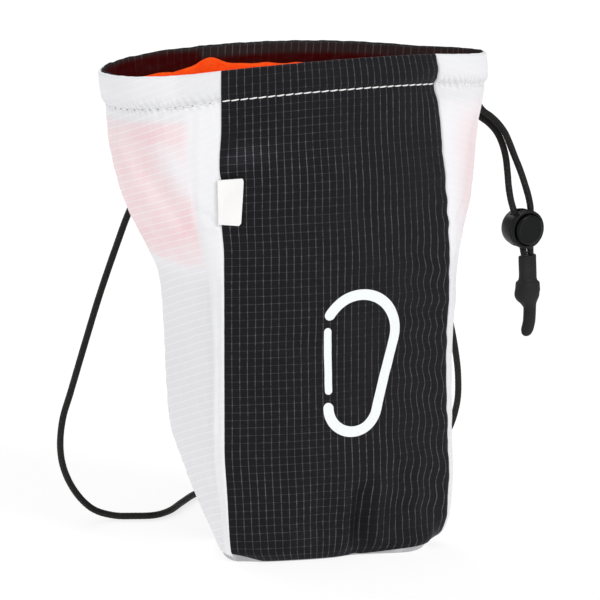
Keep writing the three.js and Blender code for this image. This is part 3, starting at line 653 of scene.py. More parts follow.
def black_ripstop():
    n = Nodes("black_ripstop")
    across, up, both = n.grain()
    gleam = n.attribute("gleam")
    warp = n.line(across, GRID, 0.34, 0.09)
    weft = n.line(up, GRID, 0.26, 0.09)
    dots = n.ramp(n.sine(up, SPOTS), -0.5, 0.6, 0.35, 1.0)
    dashes = n.ramp(n.sine(across, SPOTS), -0.5, 0.6, 0.3, 1.0)
    broad = n.noise(0.035, 3.0, both)
    patch = n.ramp(n.noise(0.42, 3.0, both), 0.34, 0.66, 0.4, 1.0)
    warp_shown = n.times(n.times(warp, dots), n.ramp(broad, 0.32, 0.68, 0.3, 0.64))
    rows = n.times(n.attribute("rows"), n.ramp(broad, 0.36, 0.66, 0.28, 0.13))
    weft_shown = n.times(n.times(weft, dashes), rows)
    grid = n.plus(n.times(n.math("MAXIMUM", warp_shown, weft_shown), patch),
                  n.times(n.times(warp, weft), 0.34), clamp=True)
    # painted highlight: the light threads brighten where gleam is high and dim where it is low
    grid = n.times(grid, n.plus(n.times(gleam, 0.9), 0.25), clamp=True)
    ground = n.mix(n.noise(0.09, 4.0, both), (0.0040, 0.0036, 0.0052), (0.0076, 0.0070, 0.0094))
    # painted sheen: the ground turns lighter and bluer where gleam is high
    ground = n.mix(n.ramp(gleam, 0.7, 1.4, 0.0, 0.24), ground, (0.036, 0.036, 0.046))
    colour = n.mix(grid, ground, (0.30, 0.295, 0.325))
    height = n.plus(weave_height(n, across, up), n.times(n.math("MAXIMUM", warp, weft), 1.4))
    fine = n.bump(height, 0.5, 0.00006)
    rumple = n.bump(n.noise(0.24, 4.0, both), 0.45, 0.0008, fine)
    return n.finish(colour, n.ramp(broad, 0.2, 0.8, 0.4, 0.52), rumple, Specular_IOR_Level=0.115)


def facing_cloth():
    """The same black cloth inside the mouth, lighter than outside as painted light in the shaded mouth, and dark
    red near the fleece as painted light bounced off it.
    """
    n = Nodes("dark_facing")
    across, up, both = n.grain()
    glow = n.attribute("glow")
    warp = n.line(across, FACING_GRID, 0.36, 0.1)
    dots = n.ramp(n.sine(up, SPOTS), -0.5, 0.6, 0.3, 1.0)
    shown = n.ramp(n.noise(0.11, 3.0, both), 0.34, 0.66, 0.06, 0.44)
    grid = n.times(n.times(warp, dots), shown)
    # dark: the black cloth lightened, as painted light inside the shaded mouth
    dark = n.mix(grid, (0.0275, 0.0265, 0.0272), (0.29, 0.285, 0.29))
    # red: painted light bounced off the orange fleece, shown where glow is high
    red = n.mix(grid, (0.040, 0.0009, 0.0009), (0.085, 0.014, 0.014))
    mottle = n.ramp(n.noise(0.3, 4.0, both), 0.25, 0.75, 0.8, 1.1)
    colour = n.mix(n.times(glow, mottle, clamp=True), dark, red)
    fine = n.bump(weave_height(n, across, up), 0.45, 0.00006)
    rumple = n.bump(n.noise(0.24, 4.0, both), 0.4, 0.0008, fine)
    return n.finish(colour, 0.7, rumple, Specular_IOR_Level=0.06)


def white_ripstop():
    n = Nodes("white_ripstop")
    across, up, both = n.grain()
    pink = n.attribute("pink")
    shade = n.attribute("shade")
    lines = n.attribute("lines")
    weft = n.line(up, GRID, 0.42, 0.22)
    warp = n.line(across, GRID, 0.3, 0.15)
    mottle = n.noise(0.11, 4.0, both)
    ground = n.mix(shade, (0.834, 0.835, 0.858), (0.40, 0.40, 0.415))
    # pink: painted light from the orange fleece through the thin cloth
    tint = n.times(pink, n.ramp(mottle, 0.25, 0.75, 0.8, 1.1))
    ground = n.mix(tint, ground, (0.85, 0.56, 0.58))
    thread = n.plus(n.times(weft, 0.5), n.times(warp, 0.1), clamp=True)
    thread = n.times(thread, lines)
    colour = n.mix(thread, ground, (0.91, 0.895, 0.915))
    height = n.plus(weave_height(n, across, up), n.times(n.math("MAXIMUM", warp, weft), 1.2))
    fine = n.bump(height, 0.4, 0.00005)
    rumple = n.bump(n.noise(0.2, 4.0, both), 0.3, 0.0007, fine)
    return n.finish(colour, 0.55, rumple, Sheen_Weight=0.1, Specular_IOR_Level=0.35)


def fleece_material():
    """Short pile, with a faint painted glow that stands in for light from behind through the thin white sides."""
    n = Nodes("orange_fleece")
    pile = n.noise(900, 5.0, roughness=0.65)
    tufts = n.noise(210, 4.0)
    colour = n.mix(n.ramp(tufts, 0.3, 0.7), (0.98, 0.062, 0.004), (1.0, 0.098, 0.008))
    colour = n.mix(n.ramp(n.noise(75, 3.0), 0.45, 0.68, 0.0, 0.6), colour, (0.9, 0.03, 0.002))
    colour = n.mix(n.ramp(pile, 0.35, 0.75, 0.0, 0.3), colour, (1.0, 0.2, 0.035))
    fuzz = n.bump(pile, 0.7, 0.0006)
    lumps = n.bump(tufts, 0.5, 0.0012, fuzz)
    # The emission is a painted glow: light from behind, through the thin white sides
    return n.finish(colour, 0.95, lumps, Sheen_Weight=0.25, Sheen_Roughness=0.5, Sheen_Tint=(1.0, 0.3, 0.08),
                    Specular_IOR_Level=0.1, Emission_Color=(1.0, 0.05, 0.006), Emission_Strength=0.06)


def tag_material():
    n = Nodes("white_tag")
    across, up, _ = n.grain()
    satin = n.sine(up, 0.42)
    twill = n.sine(n.plus(across, up), 0.5)
    soil = n.noise(90, 4.0)
    colour = n.mix(n.ramp(soil, 0.3, 0.8), (0.875, 0.868, 0.858), (0.83, 0.823, 0.815))
    normal = n.bump(n.plus(satin, twill), 0.4, 0.00004)
    return n.finish(colour, 0.6, normal, Sheen_Weight=0.15)


def webbing_material():
    n = Nodes("black_webbing")
    across, up, _ = n.grain()
    rib = n.sine(up, 1.3)
    step = n.times(n.math("SIGN", rib), 0.5)
    slant = n.plus(n.times(across, 2 * math.pi / 1.1), n.times(step, 3))
    chevron = n.math("SINE", slant)
    colour = n.mix(n.ramp(chevron, -0.6, 0.9), (0.008, 0.008, 0.009), (0.024, 0.024, 0.026))
    normal = n.bump(n.plus(rib, n.times(chevron, 0.7)), 0.7, 0.0002)
    return n.finish(colour, 0.62, normal, Specular_IOR_Level=0.25)


def cord_material():
    n = Nodes("black_cord")
    around, along, both = n.grain()
    yarn = n.sine(n.plus(around, along), 0.24)
    fleck = n.noise(1.1, 3.0, both)
    colour = n.mix(n.ramp(yarn, -0.5, 1.0), (0.0045, 0.0042, 0.0040), (0.014, 0.013, 0.012))
    colour = n.mix(n.ramp(fleck, 0.57, 0.7, 0.0, 0.65), colour, (0.062, 0.058, 0.046))
    swapped = n.add("ShaderNodeCombineXYZ")
    n.put(swapped.inputs["X"], along)
    n.put(swapped.inputs["Y"], around)
    red = n.ramp(n.noise(0.8, 2.0, swapped.outputs[0]), 0.66, 0.76, 0.0, 0.4)
    colour = n.mix(red, colour, (0.05, 0.02, 0.024))
    normal = n.bump(yarn, 0.5, 0.00007)
    return n.finish(colour, 0.55, normal, Specular_IOR_Level=0.22)


def plastic_material(name, tone, roughness, gloss):
    n = Nodes(name)
    grainy = n.noise(1600, 3.0)
    smudge = n.noise(160, 4.0)
    colour = n.mix(smudge, tuple(c * 0.85 for c in tone), tuple(c * 1.2 for c in tone))
    normal = n.bump(grainy, 0.12, 0.00008)
    rough = n.ramp(smudge, 0.25, 0.8, roughness, roughness + 0.12)
    return n.finish(colour, rough, normal, Specular_IOR_Level=gloss)


def rubber_material():
    n = Nodes("grey_rubber")
    grainy = n.noise(1100, 4.0)
    bloom = n.noise(120, 5.0)
    colour = n.mix(n.ramp(bloom, 0.3, 0.75), (0.0095, 0.0095, 0.0098), (0.0155, 0.0155, 0.0158))
    normal = n.bump(grainy, 0.25, 0.00012)
    return n.finish(colour, n.ramp(bloom, 0.2, 0.8, 0.56, 0.68), normal, Specular_IOR_Level=0.2)


def thread_material(name, low, high, holes=False):
    """Twisted thread between two tones, with painted shade where it stands for a needle hole."""
    n = Nodes(name)
    twist = n.noise(2600, 2.0)
    colour = n.mix(twist, low, high)
    if holes:
        # painted shade of the needle holes, on the dark bits between stitches
        colour = n.mix(n.attribute("hole_shade"), colour, (0.2, 0.195, 0.19))
    return n.finish(colour, 0.6, n.bump(twist, 0.4, 0.00008), Sheen_Weight=0.2)


def print_material():
    n = Nodes("white_print")
    across, up, _ = n.grain()
    lines = n.math("MAXIMUM", n.line(across, GRID, 0.3, 0.12), n.line(up, GRID, 0.3, 0.12))
    wear = n.noise(420, 4.0)
    colour = n.mix(n.ramp(wear, 0.55, 0.85, 0.0, 0.5), (0.84, 0.87, 0.88), (0.72, 0.75, 0.77))
    height = n.plus(weave_height(n, across, up, 0.5), n.times(lines, 1.5))
    return n.finish(colour, 0.5, n.bump(height, 0.45, 0.00006), Specular_IOR_Level=0.4)


BLACK_RIPSTOP = black_ripstop()
FACING = facing_cloth()
WHITE_RIPSTOP = white_ripstop()
ORANGE_FLEECE = fleece_material()
TAG = tag_material()
WEBBING = webbing_material()
CORD = cord_material()
BARREL = plastic_material("black_plastic", (0.0040, 0.0037, 0.0039), 0.3, 0.19)
BUTTON = plastic_material("button_plastic", (0.0026, 0.0030, 0.0036), 0.28, 0.15)
RUBBER = rubber_material()
WHITE_THREAD = thread_material("white_thread", (0.80, 0.80, 0.80), (0.92, 0.92, 0.91), holes=True)
BLACK_THREAD = thread_material("black_thread", (0.010, 0.010, 0.011), (0.024, 0.024, 0.026))
PRINT = print_material()


# Cords

def smooth_route(points, step):
    """Even points along a smooth curve through the route's points."""
    p = np.asarray(points, float)
    p = np.vstack([2 * p[0] - p[1], p, 2 * p[-1] - p[-2]])
    t = np.linspace(0, 1, 24, endpoint=False)[:, None]
    pieces = []
    for a, b, c, d in zip(p, p[1:], p[2:], p[3:]):
        pieces.append(0.5 * (2 * b + (c - a) * t + (2 * a - 5 * b + 4 * c - d) * t ** 2
                             + (3 * b - a - 3 * c + d) * t ** 3))
    line = np.vstack([*pieces, p[-2:-1]])
    run = run_of(line)
    count = max(int(round(run[-1] / step)), 2)
    return points_at(line, run, np.linspace(0, run[-1], count + 1)), run[-1]


def frames_along(line):
    """Two directions square to a line at each of its points, turning as little as they can."""
    ways = unit(np.gradient(line, axis=0))
    side = np.cross(ways[0], (0, 0, 1)) if abs(ways[0][2]) < 0.9 else np.cross(ways[0], (0, 1, 0))
    sides = []
    for way in ways:
        side = side - way * side.dot(way)
        side = side / np.linalg.norm(side)
        sides.append(side)
    sides = np.array(sides)
    return sides, np.cross(ways, sides)


BRAID_STRANDS = 8  # each way round
BRAID_PITCH = 1.75  # along the cord for one crossing
BRAID_RELIEF = 0.19
CORD_STEP = 0.42  # along the cord from ring to ring of its mesh
CORD_SIDES = 32


def braided_cord(name, route, node):
    """A round braid: strands wind both ways and pass over and under each other."""
    line, length = smooth_route(route, CORD_STEP)
    sides, others = frames_along(line)
    turn = np.linspace(0, 2 * np.pi, CORD_SIDES, endpoint=False)
    run = np.linspace(0, length, len(line))
    across = turn[None, :] * BRAID_STRANDS / (2 * np.pi)
    along = run[:, None] / BRAID_PITCH
    first, second = across + along, across - along
    over = (np.floor(first) + np.floor(second)) % 2 == 0
    relief = np.where(over, np.abs(np.sin(np.pi * first)), np.abs(np.sin(np.pi * second)))
    radius = CORD_WIDTH / 2 - BRAID_RELIEF + BRAID_RELIEF * relief ** 0.7
    radius[0] *= 0.9
    radius[-1] *= 0.9
    ring = (np.cos(turn)[None, :, None] * sides[:, None] + np.sin(turn)[None, :, None] * others[:, None])
    points = line[:, None] + radius[..., None] * ring
    grain = grain_at(turn[None, :] * CORD_WIDTH / 2, run[:, None])
    grain = np.vstack([grain.reshape(-1, 3), [[0, 0, 0], [0, length, 0]]])
    points = np.vstack([points.reshape(-1, 3), line[:1], line[-1:]])
    piece = make_piece(name, points, tube_faces(len(line), CORD_SIDES), CORD, grain=grain)
    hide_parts(node)
    tuple(place(route[0]))
    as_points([tuple(place(q)) for q in line[::4]] + [tuple(place(line[-1]))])


# The lock and the rubber end are made in their own frame and set in place: y is 0 at the front of
# the barrel and falls into it.

def lock_place(points):
    points = np.asarray(points, float)
    x, y = turned(points[..., 0], points[..., 1], math.pi + LOCK_YAW)
    return np.stack([x, y, points[..., 2]], -1) + LOCK_AT


def round_profile(corners, steps=5):
    """A profile from corners of radius, y and rounding, each rounded by an arc where it has room."""
    places = [np.array(corner[:2], float) for corner in corners]
    result = [corners[0][:2]]
    for before, here, after, corner in zip(places, places[1:], places[2:], corners[1:]):
        back, on = before - here, after - here
        size = min(corner[2], np.linalg.norm(back) * 0.49, np.linalg.norm(on) * 0.49)
        start = here + back / np.linalg.norm(back) * size
        end = here + on / np.linalg.norm(on) * size
        for t in np.linspace(0, 1, steps):
            result.append(tuple(start * (1 - t) ** 2 + here * 2 * t * (1 - t) + end * t * t))
    result.append(corners[-1][:2])
    return result


def turned_mesh(profile, sides=96):
    """Round body about y from a profile that starts and ends on the axis."""
    turn = np.linspace(0, 2 * np.pi, sides, endpoint=False)
    rows = [np.stack([r * np.cos(turn), np.full(sides, y), r * np.sin(turn)], -1) for r, y in profile[1:-1]]
    points = np.vstack([*rows, [[0, profile[0][1], 0]], [[0, profile[-1][1], 0]]])
    return points, reverse(tube_faces(len(rows), sides))


def slot_box(room):
    """The slot for both cords as a long upright box, with that room in front of them."""
    points = [(x, y, z) for x in (-SLOT_WIDTH / 2, SLOT_WIDTH / 2)
              for y in (-SLOT_DEPTH - SLOT_ROOM, -SLOT_DEPTH + room) for z in (-20, 20)]
    faces = [(0, 1, 3, 2), (4, 6, 7, 5), (0, 4, 5, 1), (2, 3, 7, 6), (0, 2, 6, 4), (1, 5, 7, 3)]
    return points, faces


def cut(piece, cutter):
    """Takes the cutter's body out of a piece, and deletes the cutter."""
    points, faces = cutter
    mesh = bpy.data.meshes.new("cutter")
    mesh.from_pydata(((lock_place(points) + SHIFT) * MM).tolist(), [], faces)
    tool = bpy.data.objects.new("cutter", mesh)
    bpy.context.scene.collection.objects.link(tool)
    modifier = piece.modifiers.new("cut", "BOOLEAN")
    modifier.operation, modifier.solver, modifier.object = "DIFFERENCE", "EXACT", tool
    bpy.context.view_layer.update()
    result = bpy.data.meshes.new_from_object(piece.evaluated_get(bpy.context.evaluated_depsgraph_get()))
    piece.modifiers.clear()
    old = piece.data
    piece.data = result
    for leftover in (old, mesh):
        bpy.data.meshes.remove(leftover)
    piece.data.name = piece.name
    for polygon in piece.data.polygons:
        polygon.use_smooth = True
    piece.data.set_sharp_from_angle(angle=math.radians(34))


def lock_barrel():
    radius = BARREL_WIDTH / 2
    bore = BUTTON_WIDTH / 2 + BUTTON_FIT
    floor = BORE_DEPTH
    back = floor + BARREL_FLOOR
    ring = radius - 0.35  # the groove round the barrel
    profile = round_profile([
        (0, -back, 0), (radius * 0.62, -back, 1.4), (radius * 0.9, -back * 0.93, 1.6), (radius, -back * 0.56, 1.6),
        (radius, -1.9, 0.3), (ring, -1.5, 0.2), (ring, -1.1, 0.2), (radius, -0.75, 0.3),
        (radius * 0.985, -0.1, 0.5), (radius * 0.9, 0, 0.5), (bore + 0.35, 0, 0.25), (bore, -0.4, 0.3),
        (bore, -floor, 0.5), (0, -floor, 0),
    ])
    points, faces = turned_mesh(profile)
    piece = make_piece("lock_barrel_shell", lock_place(points), faces, BARREL)
    cut(piece, slot_box(SLOT_ROOM))
    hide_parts("lock_barrel")
    return piece


def lock_button():
    radius = BUTTON_WIDTH / 2
    end = -SLOT_DEPTH - SLOT_ROOM - BUTTON_TAIL
    profile = round_profile([
        (0, end, 0), (radius - 0.3, end, 0.2), (radius, end + 0.3, 0.2), (radius, BUTTON_PROUD * 0.35, 0.5),
        (radius - 0.25, BUTTON_PROUD * 0.85, 0.6), (radius - 1.1, BUTTON_PROUD, 0.4),
        (radius - 1.5, BUTTON_PROUD - 0.16, 0.3), (0, BUTTON_PROUD - 0.05, 0),
    ])
    points, faces = turned_mesh(profile)
    piece = make_piece("lock_button_cap", lock_place(points), faces, BUTTON, body="lock_button")
    cut(piece, slot_box(SLOT_ROOM + BUTTON_TRAVEL))
    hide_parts("lock_button")
    return piece


# Sections of the rubber end: drop a share of its length, the rest shares of its width
CORD_END_SECTIONS = np.array([
    # drop, shift, half width, half depth, squareness
    [0.0, 0.0, 0.35, 0.22, 1.0],
    [0.015, 0.0, 0.36, 0.235, 1.0],
    [0.257, 0.03, 0.355, 0.25, 1.0],
    [0.30, 0.03, 0.375, 0.28, 0.9],
    [0.335, 0.03, 0.47, 0.38, 0.8],
    [0.4, 0.025, 0.48, 0.42, 0.7],
    [0.481, -0.005, 0.5, 0.42, 0.6],
    [0.54, 0.005, 0.45, 0.37, 0.4],
    [0.6, 0.08, 0.32, 0.29, 0.2],
    [0.654, 0.14, 0.265, 0.25, 0.0],
    [0.8, 0.12, 0.26, 0.25, 0.0],
    [0.9, 0.04, 0.265, 0.25, 0.0],
    [0.965, -0.01, 0.2, 0.2, 0.0],
    [0.992, -0.025, 0.1, 0.1, 0.0],
])


TIP = 0.12  # rounding of the rubber end's tip


def cord_end():
    names = ["drop", "shift", "width", "depth", "square"]
    drops = np.concatenate([np.linspace(0, 0.95, 76), np.linspace(0.955, 0.992, 8)])
    rows = columns_at(CORD_END_SECTIONS, names, drops)
    sides = 56
    turn = np.linspace(0, 2 * np.pi, sides, endpoint=False)
    power = 1 - 0.42 * rows["square"][:, None]
    c, s = np.cos(turn)[None, :], np.sin(turn)[None, :]
    x = CORD_END_WIDTH * (rows["shift"][:, None] + rows["width"][:, None] * np.sign(c) * np.abs(c) ** power)
    y = CORD_END_WIDTH * rows["depth"][:, None] * np.sign(s) * np.abs(s) ** power
    slant = 0.9 * (0.5 - drops[:, None] * 2).clip(0, 0.5)
    z = -CORD_END_LENGTH * drops[:, None] + slant * (x / CORD_END_WIDTH) * 2
    # A slanting fold across the swelling, and a faint moulding line down each side
    fold = bell(drops[:, None] + x / CORD_END_WIDTH * 0.12, 0.47, 0.022)
    swell = 0.22 * fold * smooth_step(0.33, 0.42, drops)[:, None] * falling(0.52, 0.6, drops)[:, None]
    y = y + np.sign(y) * swell
    seam = 0.09 * (bell(turn, 0, 0.07) + bell(turn, np.pi, 0.07) + bell(turn, 2 * np.pi, 0.07))[None, :]
    x = x + np.sign(c) * seam
    points = np.stack([*turned(x, y, LOCK_YAW), z], -1) + CORD_END_AT
    points = np.vstack([points.reshape(-1, 3), points[0].mean(axis=0), points[-1].mean(axis=0) - (0, 0, TIP)])
    faces = reverse(tube_faces(len(drops), sides))
    piece = make_piece("rubber_cord_end", points, faces, RUBBER, sharp=50)
    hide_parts("cord_end")
    return piece


held = [lock_barrel(), lock_button(), cord_end()]
braided_cord("drawcord_inner_braid", INNER_STRAND, "drawcord_inner")
braided_cord("drawcord_outer_braid", OUTER_STRAND, "drawcord_outer")
braided_cord("waist_cord_braid", WAIST_CORD, "waist_cord")


# Panels

STEP = 1.0  # height of a square of the panels' mesh
SHELL = 0.7  # thickness of a panel's wall
ROLL = 0.9  # height of the rim's rolled edge
TILT = {"front": 0.0, "back": 0.0, "left": -0.33, "right": 0.28}  # slant of a panel's grain


def panel_heights():
    line = BAG_HEIGHT - HEM_HEIGHT - 5
    body = np.linspace(0, line, int(line / STEP) + 1)
    hem = np.linspace(line, BAG_HEIGHT - ROLL, 33)[1:]
    return np.concatenate([body, hem])


LINE_DROP = 0.2  # the stitches below the hem's lower edge
HEM_GROOVE = 0.3  # depth of the stitch line's groove
HEM_DROP = {"front": 0.0, "right": 0.8, "back": 0.0, "left": 1.6}  # how far the stitch line sags midway


def hem_line(panel, across):
    return BAG_HEIGHT - HEM_HEIGHT - LINE_DROP - HEM_DROP[panel] * np.sin(np.pi * np.clip(across, 0, 1))


def hem_out(panel, across, height):
    """How far the hem's channel stands proud, with a groove on its stitch line."""
    line = hem_line(panel, across) + LINE_DROP
    puff = smooth_step(line - 0.4, line + 2.4, height) * (1 - 0.75 * smooth_step(line + 5.5, BAG_HEIGHT, height))
    return HEM_PUFF * puff - HEM_GROOVE * bell(height, line - LINE_DROP, 0.8)


def thread_sway(panel, across, height):
    """Sideways waves of the upright threads, strongest beside the front's drawn-up right seam."""
    u = across * PANEL_WIDTH
    soft = 0.14 * waves(u, height, 30, 60 + ORDER.index(panel))
    if panel != "front":
        return soft
    reach = smooth_step(0.55, 0.86, across) * smooth_step(2, 22, height) * falling(105, 150, height)
    lean = 2.3 * falling(3, 42, height) * smooth_step(0.3, 0.5, across)
    lean *= falling(0.9, 1, across)
    wave = (0.15 + 0.45 * reach) * reach * np.sin(height * 2 * np.pi / 13.5 + 1.6 * np.sin(height / 15) + u / 7)
    return soft + lean + wave


def cloth_panel(panel, material, tints, bottom_of=None):
    """One panel as a closed wall: up its outer face, over the rim, and down inside."""
    count = STEPS[panel]
    across = np.linspace(0, 1, count + 1)[:, None]
    bottom = np.full_like(across, BASE_LIP + CLEARANCE) if bottom_of is None else bottom_of(across)
    low = panel_heights()
    heights = bottom + (low[-1] - bottom) * (low / low[-1])[None, :]
    wide = np.broadcast_to(across, heights.shape)
    outer = cloth(panel, wide, heights, hem_out(panel, wide, heights))
    turn = np.delete(np.linspace(0, np.pi, 9)[1:-1], 3)
    half = (CLOTH + 0.2) / 2
    top = np.full((count + 1, len(turn)), BAG_HEIGHT - ROLL)
    roll = cloth(panel, across, top, 0.15 - half + half * np.cos(turn), ROLL * np.sin(turn))
    inside = -SHELL + (SHELL - CLOTH) * smooth_step(BAG_HEIGHT - 20, BAG_HEIGHT - 10, heights)
    inner = cloth(panel, wide, heights, inside)[:, ::-1]
    loops = np.concatenate([outer, roll, inner], axis=1)
    faces = reverse(loft_faces(count + 1, loops.shape[1]) + strip_caps(count + 1, loops.shape[1]))
    rise = np.concatenate([heights, top + 1, heights[:, ::-1]], axis=1)
    width = np.broadcast_to(across, rise.shape)
    run = width * count
    if panel in ("left", "right"):
        run = np.linalg.norm(np.diff(plain_point(panel, wide, heights), axis=0), axis=-1)
        run = np.vstack([np.zeros((1, run.shape[1])), np.cumsum(run, axis=0)])
        run = run - run[-1:] if panel == "left" else run
        run = np.concatenate([run, np.repeat(run[:, -1:], len(turn), axis=1), run[:, ::-1]], axis=1)
    grain = grain_at(run + thread_sway(panel, width, rise), rise + TILT[panel] * run)
    shown = {name: rule(width, rise) for name, rule in tints.items()}
    return make_piece(f"{panel}_cloth", loops, faces, material, grain=grain, tints=shown)


def front_bottom(across):
    """The front hangs over the base's lip, and leaves it bare towards the right."""
    corner = 3.2 * falling(0, 0.13, across)
    bare = 1.9 * smooth_step(0.56, 0.86, across) * falling(0.94, 0.98, across)
    return 0.6 + bare + 0.5 * bell(across, 0.565, 0.02) + corner


# Where the orange fleece's light through the thin white cloth is painted in as pink, and less pink where a
# strength is below zero: across, height, half sizes, strength
PINK_SPOTS = {
    "left": [(0.45, 154, 0.52, 33, 0.66), (0.76, 178, 0.17, 5, 0.32), (0.86, 141, 0.1, 9, 0.32),
             (0.5, 129, 0.42, 9, 0.26), (0.8, 166, 0.05, 8, -0.2), (0.85, 158, 0.05, 9, -0.25)],
    "right": [(0.3, 152, 0.2, 28, 0.5), (0.75, 150, 0.25, 30, 0.5)],
}


def pink_on(panel):
    def rule(across, height):
        total = np.zeros_like(height)
        for at, up, half_across, half_up, strength in PINK_SPOTS[panel]:
            far = (((across - at) / half_across) ** 2) ** 1.6 + (((height - up) / half_up) ** 2) ** 1.6
            total += strength * np.exp(-far)
        total *= falling(181, 184, height) * smooth_step(118, 123, height)
        if panel == "left":
            total *= falling(0.85, 0.9, across)
        return np.clip(total, 0, 1)
    return rule


SEAM_BAND = {"left": 0.875, "right": 2.0}  # where the cloth starts to lie double towards the front seam


def shade_on(panel):
    """Greyer where the lining's shadow shows: below the pink, and on the gathered stitch line."""
    def rule(across, height):
        line = hem_line(panel, across)
        band = SEAM_BAND[panel]
        single = falling(band - 0.009, band + 0.009, across)
        low = falling(112, 126, height) * (0.17 * single + 0.02)
        beat = np.sin(across * PANEL_WIDTH * 2 * np.pi / 2.3 + 2.2 * np.sin(across * 31) + height * 1.1)
        ruched = bell(height, line - 0.4, 1.4) * (0.16 + 0.2 * beat)
        ruched += 0.16 * bell(height, line - 4.2, 3.6) * single
        ruched += bell(height, line + 2.2, 2.0) * (0.08 + 0.12 * beat) * (1.5 if panel == "right" else 1)
        hem = smooth_step(line, line + 2, height) * (0.1 + 0.11 * smooth_step(band - 0.05, band, across))
        doubled = 0.06 * (1 - single) * falling(line - 2, line, height)
        return np.clip(low + ruched + hem + doubled, 0, 1)
    return rule


# Painted highlight where the black cloth's light threads catch more light, and painted shade where a strength is
# below zero: across, height, half sizes, strength
GLEAM_SPOTS = [(0.07, 165.5, 0.09, 5.0, 0.75), (0.2, 168, 0.1, 7, 0.35), (0.12, 176, 0.1, 4, 0.1),
               (0.03, 172.5, 0.035, 4.5, -0.6), (0.35, 160, 0.4, 25, 0.1), (0.5, 30, 0.4, 20, 0.15),
               (0.8, 60, 0.15, 60, 0.1), (0.9, 150, 0.12, 40, -0.15)]


def gleam_on(panel):
    def rule(across, height):
        total = np.full_like(height, 0.5)
        if panel == "front":
            for at, up, half_across, half_up, strength in GLEAM_SPOTS:
                total += strength * bell(across, at, half_across) * bell(height, up, half_up)
        return np.clip(total, 0, 1.5)
    return rule


def lines_on(panel):
    """How clearly the cloth's light threads show: least where it lies double along the front seam."""
    def rule(across, height):
        if panel == "right":
            return np.full_like(height, 0.4)
        doubled = smooth_step(SEAM_BAND[panel] - 0.01, SEAM_BAND[panel] + 0.01, across)
        return (1 - 0.6 * doubled) * (1 - 0.45 * smooth_step(184, 190, height))
    return rule


def rows_on(panel):
    """How clearly the black cloth's level threads show: most on the front's left."""
    def rule(across, height):
        if panel == "back":
            return np.full_like(height, 0.5)
        return (1 - 0.8 * smooth_step(0.3, 0.66, across)) * (1 - 0.4 * smooth_step(184, 190, height))
    return rule


def black_tints(panel):
    return {"gleam": gleam_on(panel), "rows": rows_on(panel)}


def white_tints(panel):
    return {"pink": pink_on(panel), "shade": shade_on(panel), "lines": lines_on(panel)}


for panel, material, slot, tints in (
    ("front", BLACK_RIPSTOP, "black_ripstop", black_tints),
    ("right", WHITE_RIPSTOP, "white_ripstop", white_tints),
    ("back", BLACK_RIPSTOP, "black_ripstop", black_tints),
    ("left", WHITE_RIPSTOP, "white_ripstop", white_tints),
):
    node = f"{panel}_panel" if panel in ("front", "back") else f"{panel}_side_panel"
    piece = cloth_panel(panel, material, tints(panel), front_bottom if panel == "front" else None)
    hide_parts(node)


# Rings that follow all four panels

def ring(height, out, rise=0.0, wrinkle=True, share=1.0):
    """A closed loop round the bag, every panel in turn: height and out may follow the panel."""
    rows = []
    for panel, steps in STEPS.items():
        across = even_shares(steps, share)
        level = height(panel, across) if callable(height) else np.full_like(across, height)
        off = out(panel, across) if callable(out) else np.full_like(across, out)
        up = rise(panel, across) if callable(rise) else rise
        rows.append(cloth(panel, across, level, off, up, wrinkle))
    return np.vstack(rows)


def ring_grain(height, share=1.0):
    rows = []
    start = 0.0
    for panel, steps in STEPS.items():
        rows.append(grain_at(start + even_shares(steps, share) * steps, height))
        start += steps
    return np.vstack(rows)


def ringed_piece(name, rows, grains, material, ends, tints=None):
    """A piece from rings: closed by fans at both ends, or joined last to first."""
    size = len(rows[0])
    points = np.vstack(rows)
    grain = np.vstack(grains)
    if ends == "joined":
        faces = loft_faces(len(rows), size, closed_rows=True)
    else:
        faces = tube_faces(len(rows), size)
        points = np.vstack([points, rows[0].mean(axis=0), rows[-1].mean(axis=0)])
        grain = np.vstack([grain, np.zeros((2, 3))])
        tints = {key: np.append(value, [0, 0]) for key, value in (tints or {}).items()}
    return make_piece(name, points, faces, material, grain=grain, tints=tints)


def inner_facing():
    outside = -CLOTH - FACING_OUT
    inside = -CLOTH - FACING_IN
    top = BAG_HEIGHT - 0.4
    bottom = BAG_HEIGHT - FACING_HEIGHT
    levels = np.linspace(bottom, top, 24)

    def flush(level):
        def rule(panel, across):
            part = {"front": 0, "right": smooth_step(0.3, 0.6, across), "left": falling(0.4, 0.7, across),
                    "back": falling(0, 0.06, across) + smooth_step(0.94, 1, across)}[panel]
            return FACING_RISE * part * smooth_step(top - 4, top, level)
        return rule

    sides = [(level, outside) for level in levels] + [(level, inside) for level in levels[::-1]]
    rows = [ring(level, out, flush(level)) for level, out in sides]
    grains = [ring_grain(level) for level, _ in sides]
    # Painted red light from the fleece fills the facing up to this far below the rim, higher at the back's corner
    # where the lining rises
    edge = {"front": 4.6, "right": 3.4, "back": 4.8, "left": 1.5}
    glow = []
    for level, _ in sides:
        for panel, steps in STEPS.items():
            corner = 3.3 * smooth_step(0.86, 0.885, even_shares(steps)) * (panel == "back")
            near = BAG_HEIGHT - edge[panel] + corner
            glow.append(falling(near - 1.3, near + 1.3, level))
    glow = np.concatenate(glow)
    piece = ringed_piece("mouth_facing", rows, grains, FACING, "joined", {"glow": glow})
    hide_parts("inner_facing")


# Rises of the lining's top edge above its even line: across, half width, rise
LINING_RISES = {
    "front": [(0.5, 0.3, -0.6)],
    "right": [(0.5, 0.2, -0.8)],
    "back": [(0.835, 0.075, 4.0), (0.66, 0.07, 0.6)],
    "left": [(0.12, 0.12, 1.0), (0.7, 0.2, -1.0)],
}


def lining_rise(panel, across):
    total = sum(rise * bell(across, at, half) for at, half, rise in LINING_RISES[panel])
    return total + 0.25 * np.sin(across * PANEL_WIDTH * 2 * np.pi / 11)


